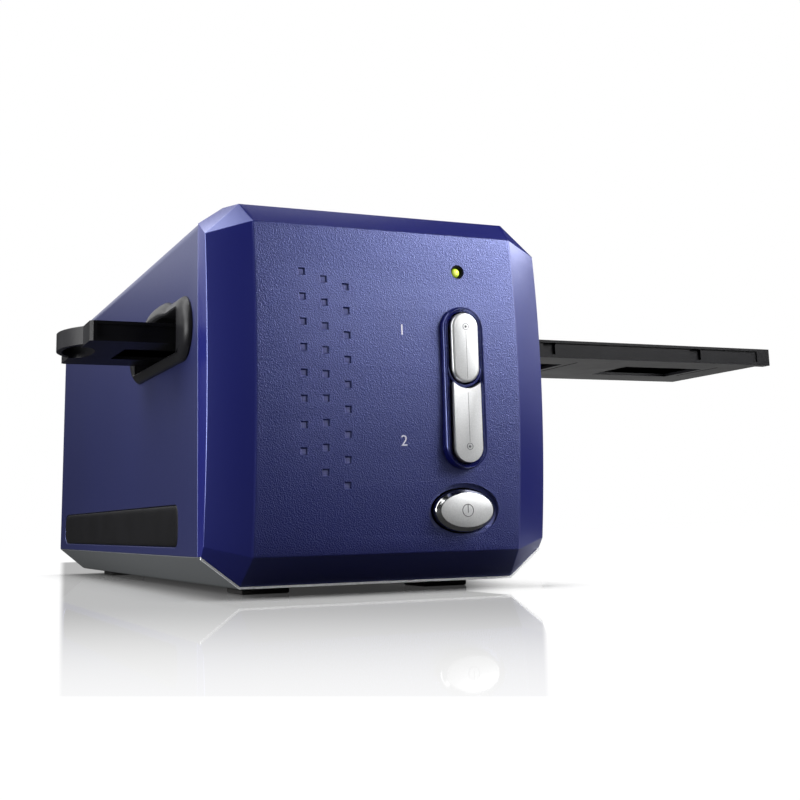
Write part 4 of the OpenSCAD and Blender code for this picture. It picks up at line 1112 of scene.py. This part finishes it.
def inlay_solid(side, stations, grow=0.0):
    """A strip through stations, each a distance from the middle and how far it is drawn in."""
    bm = bmesh.new()
    rings = [[bm.verts.new(at(side * x, y, z)) for y, z in inlay_rim(grow, drawn)]
             for x, drawn in stations]
    for low, high in zip(rings, rings[1:]):
        for i in range(len(low)):
            j = (i + 1) % len(low)
            bm.faces.new((low[i], low[j], high[j], high[i]))
    bm.faces.new(rings[0])
    bm.faces.new(rings[-1])
    bmesh.ops.recalc_face_normals(bm, faces=bm.faces[:])
    return bm


def cover_shell():
    """The smooth blue cover over the works, with its slots and inlay beds."""
    outer = section(cover_outline(0.0), SEAM + 0.2, REAR_TOP + 8)
    soften(outer, shape().cover_round, segments=5, where=lambda p: p.z > at(0, 0, 100).z)
    inner = section([(x, z - 0.01) for x, z in cover_outline(WALL)], SEAM - 2, REAR_TOP + 12)
    shell = carved(cut_rear(outer), inner, slot_tool(),
                   *(inlay_solid(side, ((HALF - INLAY_DEPTH - 0.05, 0.0), (HALF + 1, 0.0)),
                                 INLAY_GAP) for side in (-1, 1)))
    piece("cover_shell", shell, smooth_blue(),
          stands_for=["main_housing"], rim=0.35 * MM, smooth=26.0)


def tray_shell():
    """The silver-gray tray with chamfered flanks."""
    outer = section(tray_outline(0.0), TRAY_FRONT, REAR_TOP + 8)
    soften(outer, 0.9 * MM, segments=4, where=lambda p: p.z < at(0, 0, TRAY_FOOT + 1).z)
    inner = section([(x, z + 0.01) for x, z in tray_outline(WALL)], TRAY_FRONT + WALL,
                    REAR_TOP + 12)
    piece("tray_shell", carved(cut_rear(outer), inner), silver_gray(),
          stands_for=["base_tray"], rim=0.3 * MM, smooth=26.0)


# The lip's section, measured from the line that it follows.
LIP_X, LIP_Y, LIP_Z = (-0.05, 0.05), (-0.3, 0.4), (-0.62, 0.06)


def tray_lip():
    """The tray's lip, a thin line along the front's lower edge, light as a painted highlight."""
    foot_x = HALF - TRAY_CHAMFER
    path = [(HALF + 0.05, TRAY_FRONT, TRAY_TOP),
            (foot_x, BEVEL_DEPTH + panel_y(RIM_FOOT), RIM_FOOT)]
    path += [(-x, y, z) for x, y, z in reversed(path)]
    bars = []
    for start, end in zip(path, path[1:]):
        corners = [(x + dx, y + dy, z + dz) for x, y, z in (start, end)
                   for dx in LIP_X for dy in LIP_Y for dz in LIP_Z]
        bars.append(wrapped(corners))
    # Painted highlight: the lip's light silver stands in for the bright line along the front's
    # lower edge.
    piece("tray_lip", joined(*bars), painted_highlight_silver(), rim=0.1 * MM)


FOOT_X, FOOT_FRONTS, FOOT_SIDE = 31.3, (32.0, 237.0), 16.0


def foot_pads():
    """Square rubber feet with softened edges."""
    half = FOOT_SIDE / 2
    feet = [soften(block((x - half, y, 0), (x + half, y + FOOT_SIDE, TRAY_FOOT + 0.2)), 0.7 * MM)
            for x in (-FOOT_X, FOOT_X) for y in FOOT_FRONTS]
    piece("foot_pads", together(*feet), foot_rubber(),
          stands_for=["rubber_feet"])


def side_strip(name, side):
    """A black strip let into a flank."""
    crown = [(HALF - 0.55 + 0.85 * math.sin(a), 2.0 * (1.0 - math.cos(a)))
             for a in (math.radians(15.0 * i) for i in range(7))]
    strip = inlay_solid(side, [(HALF - INLAY_DEPTH, 0.0), *crown])
    piece("side_strip_" + name, strip, soft_black(),
          stands_for=["side_inlay_" + name], smooth=40.0)


# ---- the slot frames ----------------------------------------------------------------------

# Each station of a slot frame: distance from the cover's middle, how far the outline has
# turned from the outer pill (0) into the mouth (1), and how far it is drawn in.
FRAME_STATIONS = ((HALF - 6, 0.0, 8.0), (HALF - 0.5, 0.0, 8.0), (HALF - 0.5, 0.0, 0.0),
                  (HALF + 0.5, 0.0, 0.0), (HALF + 1.3, 0.0, 0.5), (HALF + 2.0, 0.0, 1.3),
                  (HALF + 2.5, 0.0, 2.3), (HALF + 2.8, 0.3, 2.6), (HALF + 2.95, 0.62, 1.6),
                  (HALF + 2.9, 0.9, 0.5), (HALF + 2.4, 1.0, 0.0), (HALF - 4.5, 1.35, 0.0),
                  (HALF - 6, 1.35, 0.0))
FRAME_LENGTH, FRAME_HEIGHT = 83.5, 20.8
MOUTH_LENGTH, MOUTH_HEIGHT = 62.0, 13.6
HUMP_HALF, HUMP_RISE = 17.0, 2.3
NECK_DRAW, NECK_SHARE = 4.0, 0.19


def frame_place(y, z, turned_in, drawn):
    """Where a vertex of the outer pill lies at one station, as Y and Z.

    A station that is drawn in past NECK_DRAW is the neck, which keeps more of its height and
    has no hump.
    """
    length, height = FRAME_LENGTH / 2, FRAME_HEIGHT / 2
    neck = drawn > NECK_DRAW
    outer_y = y * (length - drawn) / length
    outer_z = z * (height - drawn * (NECK_SHARE if neck else 1.0)) / height
    shrink = 1.0 - 0.35 * max(0.0, turned_in - 1.0)
    mouth_y = max(-MOUTH_LENGTH / 2, min(MOUTH_LENGTH / 2, y))
    mouth_z = max(-MOUTH_HEIGHT / 2, min(MOUTH_HEIGHT / 2, z)) * shrink
    share = min(1.0, turned_in)
    hump = max(0.0, 1.0 - abs(y / HUMP_HALF) ** 3) if z > 0 else 0.0
    rise = 0.0 if neck else HUMP_RISE * hump * (1.0 - 0.6 * share)
    middle_z = BEZEL_Z + (MOUTH_Z - BEZEL_Z) * share
    return (HOLDER_Y + outer_y + (mouth_y - outer_y) * share,
            middle_z + outer_z + (mouth_z - outer_z) * share + rise)


def slot_frame(name, side):
    """A crowned frame round the holder's slot, with a hump on top and a flared mouth."""
    straight = (FRAME_LENGTH - FRAME_HEIGHT) / 2
    bm = pulled_apart(circle(64, FRAME_HEIGHT / 2), 0, straight)
    long_edges = [e for e in bm.edges if e.calc_length() > straight]
    bmesh.ops.subdivide_edges(bm, edges=long_edges, cuts=40)
    band(bm, FRAME_STATIONS, lambda spot, x, turned_in, drawn: at(
        side * x, *frame_place(spot.x, spot.y, turned_in, drawn)))
    piece("slot_frame_" + name, bm, moulded_black(),
          stands_for=["slot_bezel_" + name], smooth=35.0)


# ---- the slide holder ---------------------------------------------------------------------


def flat_outline(points, z0, z1):
    """A closed outline of X and Y between two heights."""
    bm = bmesh.new()
    bm.faces.new([bm.verts.new(at(x, y, z0)) for x, y in points])
    return raised(bm, (0, 0, (z1 - z0) * MM))


HOLDER_LEFT = SLIDE_PLACES[0] - 35.2
HOLDER_RIGHT = SLIDE_PLACES[-1] + 31.3
RAIL_EXTRA, RAIL_WIDTH, LOOP_REACH, LOOP_WIDTH = 4.0, 4.0, 5.7, 32.0
NEAR, FAR = HOLDER_Y - HOLDER_W / 2, HOLDER_Y + HOLDER_W / 2
PARTING = HOLDER_Z + (HOLDER_TOP - HOLDER_Z) * 0.54


def holder_slab(z0, z1):
    """The holder's plan between two heights: a long plate with a longer near rail."""
    cut = 1.0
    return flat_outline([(HOLDER_LEFT + cut, NEAR), (HOLDER_RIGHT + RAIL_EXTRA, NEAR),
                         (HOLDER_RIGHT + RAIL_EXTRA, NEAR + RAIL_WIDTH),
                         (HOLDER_RIGHT, NEAR + RAIL_WIDTH),
                         (HOLDER_RIGHT, FAR), (HOLDER_LEFT + cut, FAR),
                         (HOLDER_LEFT, FAR - cut), (HOLDER_LEFT, NEAR + cut)], z0, z1)


def loop_slab(z0, z1):
    """The bowed finger loop at the left end."""
    radius = ((LOOP_WIDTH / 2) ** 2 + LOOP_REACH ** 2) / (2 * LOOP_REACH)
    spread = math.asin(LOOP_WIDTH / 2 / radius)
    centre = HOLDER_LEFT - LOOP_REACH + radius
    arc = [(centre - radius * math.cos(a), HOLDER_Y + radius * math.sin(a))
           for a in (spread * (i / 16 - 1) for i in range(33))]
    end = HOLDER_LEFT + 6
    return flat_outline([(end, arc[0][1]), *arc, (end, arc[-1][1])], z0, z1)


WINDOW_L, WINDOW_W, WINDOW_RIM, SNAP = 36.0, 24.0, 5.0, 0.05
SLIDE_HALF, SLIDE_DEEP = 25.4, 2.4


def window_block(x, margin, z0, z1):
    """A block at the window of a slide, wider by a margin."""
    middle = x - WINDOW_SHIFT
    return block((middle - WINDOW_L / 2 - margin, HOLDER_Y - WINDOW_W / 2 - margin, z0),
                 (middle + WINDOW_L / 2 + margin, HOLDER_Y + WINDOW_W / 2 + margin, z1))


def window_tools(margin=0.0):
    """The four slide windows and the finger hole."""
    tools = [window_block(x, margin, HOLDER_Z - 5, HOLDER_TOP + 5) for x in SLIDE_PLACES]
    hole = rod((HOLDER_LEFT + 1.2, HOLDER_Y, HOLDER_Z - 5), "Z", 5.0, 20, 64)
    centre = at(HOLDER_LEFT + 1.2, HOLDER_Y, 0)
    bmesh.ops.scale(hole, verts=hole.verts[:], vec=(1.0, 2.56, 1.0),
                    space=Matrix.Translation(-centre))
    tools.append(hole)
    return together(*tools)


def edge_tools(z0, z1):
    """Grooves along both long sides, and the notches on the near one."""
    tools = [block((HOLDER_LEFT + 2.2, y - 0.5, z0), (HOLDER_RIGHT - 2, y + 0.5, z1))
             for y in (NEAR, FAR)]
    tools += [block((x - 2.5, NEAR - 1, z0), (x + 2.5, NEAR + 1.6, z1)) for x in SLIDE_PLACES]
    return tools


def holder_shells():
    """Both halves of the slide holder."""
    lower = joined(holder_slab(HOLDER_Z, PARTING), loop_slab(HOLDER_Z + 0.6, PARTING))
    middles = [x - WINDOW_SHIFT for x in SLIDE_PLACES]
    pockets = [block((x - SLIDE_HALF, NEAR + 2.8, PARTING - SLIDE_DEEP),
                     (x + SLIDE_HALF, FAR + 1, PARTING + 1)) for x in middles]
    pockets += [block((x + 20.6, HOLDER_Y - 18, HOLDER_Z - 1),
                      (x + 21.4, HOLDER_Y + 8, PARTING - 2)) for x in middles]
    lower = carved(lower, window_tools(), *edge_tools(HOLDER_Z + 1.2, PARTING + 1),
                   together(*pockets))
    rim = shape().holder_round
    piece("holder_lower", lower, holder_black(), body="holder",
          stands_for=["holder_base"], rim=rim)
    upper = joined(holder_slab(PARTING, HOLDER_TOP), loop_slab(PARTING, HOLDER_TOP))
    upper = carved(upper, window_tools(WINDOW_RIM + SNAP),
                   *edge_tools(PARTING - 1, HOLDER_TOP - 1))
    piece("holder_upper", upper, holder_black(), body="holder",
          stands_for=["holder_cover"], rim=rim)
    felt = SLIDE_HALF - 0.1
    felts = [block((x - felt, FAR - 2.0, PARTING - SLIDE_DEEP + 0.05),
                   (x + felt, FAR - 1.0, PARTING + 0.1)) for x in middles]
    piece("slot_felts", together(*felts), foot_rubber(), body="holder")
    masks = [carved(window_block(x, WINDOW_RIM, PARTING, HOLDER_TOP),
                    window_block(x, 0.0, PARTING - 1, HOLDER_TOP + 1)) for x in SLIDE_PLACES]
    piece("window_masks", together(*masks), holder_black(), body="holder",
          stands_for=["window_frames"], rim=rim)


# ---- the works: nodes whose solids already have their true shape ---------------------------

WORKS = {
    moulded_black: ("rear_panel", "button_carrier", "film_chassis", "tunnel_cover",
                    "unit_frame", "lens_barrel"),
    ground_steel: ("guide_rod", "guide_rail", "gear_shaft", "idler_shaft", "motor_shaft",
                   "motor_can", "detent_spring", "slide_clips", "usb_socket"),
    pressed_steel: ("scan_frame", "motor_bracket", "belt_clamp", "case_screws",
                    "frame_screws", "rear_screws"),
    sintered_bronze: ("rod_bushes", "pinion"),
    board_green: ("button_board", "main_board", "lamp_board", "sensor_board"),
    chip_black: ("tact_switches", "board_chips", "power_jack", "image_sensor"),
    natural_white: ("lamp_housing", "reduction_gear", "idler_pulley", "sensor_ribbon"),
    foot_rubber: ("drive_belt",),
    coated_glass: ("lens_glass",),
    silvered_glass: ("scan_mirror",),
}


def dress(node, material):
    """Gives a solid of the frame its finish."""
    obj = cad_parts[node]
    if not obj.material_slots:
        obj.data.materials.append(material)
    for holder in obj.material_slots:
        holder.material = material


# ---- the studio ---------------------------------------------------------------------------

CAMERA_PLACE = (-151.84, -335.35, 20.76)
CAMERA_YAW, CAMERA_PITCH, CAMERA_ROLL = 23.022, 10.066, -1.308
LENS_CENTRE = (364.2, 310.2)
IMAGE_SIZE = 800.0


def set_camera():
    """A low camera in front of the left corner, looking slightly up."""
    yaw, pitch, roll = (math.radians(a) for a in (CAMERA_YAW, CAMERA_PITCH, CAMERA_ROLL))
    ahead = Vector((math.sin(yaw) * math.cos(pitch), math.cos(yaw) * math.cos(pitch),
                    math.sin(pitch)))
    right = Vector((math.cos(yaw), -math.sin(yaw), 0.0))
    up = right.cross(ahead)
    right, up = (math.cos(roll) * right + math.sin(roll) * up,
                 math.cos(roll) * up - math.sin(roll) * right)
    data = bpy.data.cameras.new("camera")
    data.lens = bpy.context.scene.scanner_studio.focal
    data.sensor_width = 36.0
    data.shift_x = (IMAGE_SIZE / 2 - LENS_CENTRE[0]) / IMAGE_SIZE
    data.shift_y = (LENS_CENTRE[1] - IMAGE_SIZE / 2) / IMAGE_SIZE
    data.clip_start = 0.01
    camera = linked("camera", data)
    turn = Matrix((right, up, -ahead)).transposed()
    camera.matrix_world = Matrix.Translation(at(*CAMERA_PLACE)) @ turn.to_4x4()
    bpy.context.scene.camera = camera


# Each lamp's name, place, side in metres and power in watts.
LAMPS = (("lamp_high_left", (-500, 200, 600), 0.7, 8.6),
         ("lamp_rear", (0, 700, 600), 0.8, 2.2),
         ("lamp_left_rear", (-600, 600, 500), 0.7, 1.1),
         ("lamp_left_low", (-420, 20, 60), 0.2, 1.7),
         ("lamp_left_near", (-330, 60, 150), 0.2, 0.7),
         ("lamp_near_right", (330, -200, 260), 0.2, 1.6),
         ("lamp_high_right", (440, -20, 330), 0.2, 1.0),
         ("lamp_close_right", (190, -150, 260), 0.12, 0.58),
         ("lamp_front", (420, -700, 260), 0.35, 0.6))
LAMP_AIM = (0, 120, 60)


def lamp(name, place, side, power):
    """A soft square lamp that faces the scanner's middle."""
    data = bpy.data.lights.new(name, "AREA")
    data.shape = "SQUARE"
    data.size = side
    data.energy = power
    away = at(*place) - at(*LAMP_AIM)
    turn = away.to_track_quat("Z", "Y").to_matrix().to_4x4()
    linked(name, data).matrix_world = Matrix.Translation(at(*place)) @ turn


def set_room(studio):
    """White for the camera; in reflections, three white cards in a dim room."""
    world = bpy.data.worlds.new("room")
    bpy.context.scene.world = world
    world.use_nodes = True
    f = Nodes(world.node_tree)
    seen, bounced = f.rays()
    ray = f.node("TexCoord", out="Generated")
    x, y, z = (f.node("SeparateXYZ", out=name, Vector=ray) for name in "XYZ")
    low_card = f.between(x, 0.44, 0.5) * f.between(y, 0.4, 0.6) * (1.0 - f.between(z, 0.2, 0.3))
    right_card = f.between(x, 0.8, 0.92) * f.within(z, (0.01, 0.17), (0.45, 0.6))
    near_card = (f.within(x, (-0.52, -0.42), (-0.3, -0.2)) * (1.0 - f.between(y, -0.8, -0.7))
                 * f.within(z, (-0.1, 0.0), (0.3, 0.45)))
    cards = low_card + right_card + near_card
    light = (seen + bounced * (studio.dim + (1.0 - studio.dim) * cards)
             + (1.0 - seen) * (1.0 - bounced) * studio.room)
    f.node("OutputWorld", Surface=f.node("Background", Color=(1.0, 1.0, 1.0), Strength=light))


# The table: the half width of the spot under the body, round which a contact shadow is painted,
# its middle and half depth, the camera's sight line over the floor, and how far from the body
# the mirror image reaches.
SPOT_X, SPOT_Y, SPOT_DEPTH = 46.0, 138.0, 126.0
SIGHT = (0.533, 0.847)
REACH, FADE = 222.0, 40.0


def floor_white(mirror):
    """A table, white for the viewer, with a painted contact shadow and a weak mirror image near
    the scanner.
    """
    f = Finish("floor_white")
    path, bounced = f.rays()
    x, y = f.axis("X"), f.axis("Y")
    beside = (x.math("ABSOLUTE") - SPOT_X).math("MAXIMUM", 0.0)
    before = ((y - SPOT_Y).math("ABSOLUTE") - SPOT_DEPTH).math("MAXIMUM", 0.0)
    apart = (beside * beside + before * before) ** 0.5
    close = 1.0 - f.between(apart, 0.0, 30.0)
    # Painted shadow: the floor's colour and glow are darkened close round the body's footprint.
    painted_contact_shadow = 0.66 + 0.34 * f.between(apart, 2.0, 15.0)
    right = (f.within(x, (40.0, 90.0), (110.0, 190.0))
             + f.between(x, 100.0, 200.0) * f.between(y, 200.0, 320.0))
    seen = f.mix(painted_contact_shadow, (0.0,) * 3, f.mix(close, (0.02,) * 3, (0.42,) * 3))
    lit = f.node("BsdfDiffuse", Color=f.mix(path, (0.05,) * 3, seen))
    glow = f.node("Emission", Color=(1.0, 1.0, 1.0),
                  Strength=path * (1.0 - 0.88 * close) * painted_contact_shadow + bounced * (0.01 + 0.6 * right))
    image = f.node("BsdfGlossy", Color=(1.0, 1.0, 1.0), Roughness=0.03)
    across, ahead = x - CAMERA_PLACE[0], y - CAMERA_PLACE[1]
    away = across * SIGHT[0] + ahead * SIGHT[1]
    kept = (f.within(across / ahead, (0.155, 0.161), (0.596, 0.604))
            * f.between(away, 150.5, 152.5) * (0.13 + 0.87 * f.between(away, 120.0, 330.0))
            * (1.0 - f.between(apart, REACH, REACH + FADE)))
    table = f.both("MixShader", f.both("AddShader", lit, glow), image, Fac=mirror * path * kept)
    f.node("OutputMaterial", Surface=table)
    return f.material


def set_floor(mirror):
    """A square table, four metres wide."""
    bm = bmesh.new()
    bmesh.ops.create_grid(bm, x_segments=1, y_segments=1, size=2.0)
    floor = linked("floor", as_mesh(bm, "floor"))
    floor.data.materials.append(floor_white(mirror))


# ---- operators ----------------------------------------------------------------------------


class SCANNER_OT_studio(bpy.types.Operator):
    """Set up the camera, the lamps, the room and the floor"""

    bl_idname = "scanner.studio"
    bl_label = "Studio"

    def execute(self, context):
        studio = context.scene.scanner_studio
        set_camera()
        set_room(studio)
        set_floor(studio.mirror)
        for name, place, side, power in LAMPS:
            lamp(name, place, side, power * studio.lamps)
        return {"FINISHED"}


class SCANNER_OT_front(bpy.types.Operator):
    """Build the grained front with its openings and the ring round the buttons"""

    bl_idname = "scanner.front"
    bl_label = "Front"

    def execute(self, context):
        front_shell()
        button_ring()
        return {"FINISHED"}


class SCANNER_OT_buttons(bpy.types.Operator):
    """Build the scan buttons and the power button with their marks"""

    bl_idname = "scanner.buttons"
    bl_label = "Buttons"

    def execute(self, context):
        radius = BUTTON_W / 2
        scan_button("upper", SPLIT_Z - radius, UPPER_TOP, None)
        scan_button("lower", LOWER_FOOT, SPLIT_Z, radius + 2 * BUTTON_GAP + DIVIDER)
        for name, heights in BUTTON_MARKS.items():
            button_mark(name, *heights)
        power_mark(power_cap())
        return {"FINISHED"}


class SCANNER_OT_marks(bpy.types.Operator):
    """Build the status light and the printed numbers"""

    bl_idname = "scanner.marks"
    bl_label = "Light and numbers"

    def execute(self, context):
        status_lens()
        for name, text, z in NUMERALS:
            numeral(name, text, z)
        return {"FINISHED"}


class SCANNER_OT_cover(bpy.types.Operator):
    """Build the cover, the tray, the feet and the side strips"""

    bl_idname = "scanner.cover"
    bl_label = "Cover and tray"

    def execute(self, context):
        cover_shell()
        tray_shell()
        tray_lip()
        foot_pads()
        side_strip("left", -1)
        side_strip("right", 1)
        return {"FINISHED"}


class SCANNER_OT_slot_frames(bpy.types.Operator):
    """Build the black frames round the film slot"""

    bl_idname = "scanner.slot_frames"
    bl_label = "Slot frames"

    def execute(self, context):
        slot_frame("left", -1)
        slot_frame("right", 1)
        return {"FINISHED"}


class SCANNER_OT_holder(bpy.types.Operator):
    """Build the slide holder"""

    bl_idname = "scanner.holder"
    bl_label = "Slide holder"

    def execute(self, context):
        holder_shells()
        return {"FINISHED"}


class SCANNER_OT_works(bpy.types.Operator):
    """Give the scanner's works their finishes"""

    bl_idname = "scanner.works"
    bl_label = "Works"

    def execute(self, context):
        for maker, nodes in WORKS.items():
            for node in nodes:
                dress(node, maker())
        return {"FINISHED"}


class SCANNER_PT_panel(bpy.types.Panel):
    """Lists the sizes, colours and steps"""

    bl_label = "Film Scanner"
    bl_idname = "SCANNER_PT_panel"
    bl_space_type = "VIEW_3D"
    bl_region_type = "UI"
    bl_category = "Scanner"

    def draw(self, context):
        layout = self.layout
        for group in (context.scene.scanner_shape, context.scene.scanner_finish,
                      context.scene.scanner_studio):
            box = layout.box()
            for name in group.__annotations__:
                box.prop(group, name)
        for step in STEPS:
            layout.operator(step.bl_idname)


STEPS = (SCANNER_OT_studio, SCANNER_OT_front, SCANNER_OT_buttons, SCANNER_OT_marks,
         SCANNER_OT_cover, SCANNER_OT_slot_frames, SCANNER_OT_holder, SCANNER_OT_works)
CLASSES = (ScannerShape, ScannerFinish, ScannerStudio, *STEPS, SCANNER_PT_panel)


def register():
    """Registers the classes and hangs the property groups on the scene."""
    for cls in CLASSES:
        bpy.utils.register_class(cls)
    bpy.types.Scene.scanner_shape = PointerProperty(type=ScannerShape)
    bpy.types.Scene.scanner_finish = PointerProperty(type=ScannerFinish)
    bpy.types.Scene.scanner_studio = PointerProperty(type=ScannerStudio)


def unregister():
    """Undoes register()."""
    for name in ("scanner_shape", "scanner_finish", "scanner_studio"):
        delattr(bpy.types.Scene, name)
    for cls in reversed(CLASSES):
        bpy.utils.unregister_class(cls)


def main():
    """Registers the add-on and runs its steps in order."""
    register()
    bpy.context.scene.view_settings.view_transform = "Standard"
    for step in STEPS:
        group, name = step.bl_idname.split(".")
        getattr(getattr(bpy.ops, group), name)()


if __name__ == "__main__":
    main()
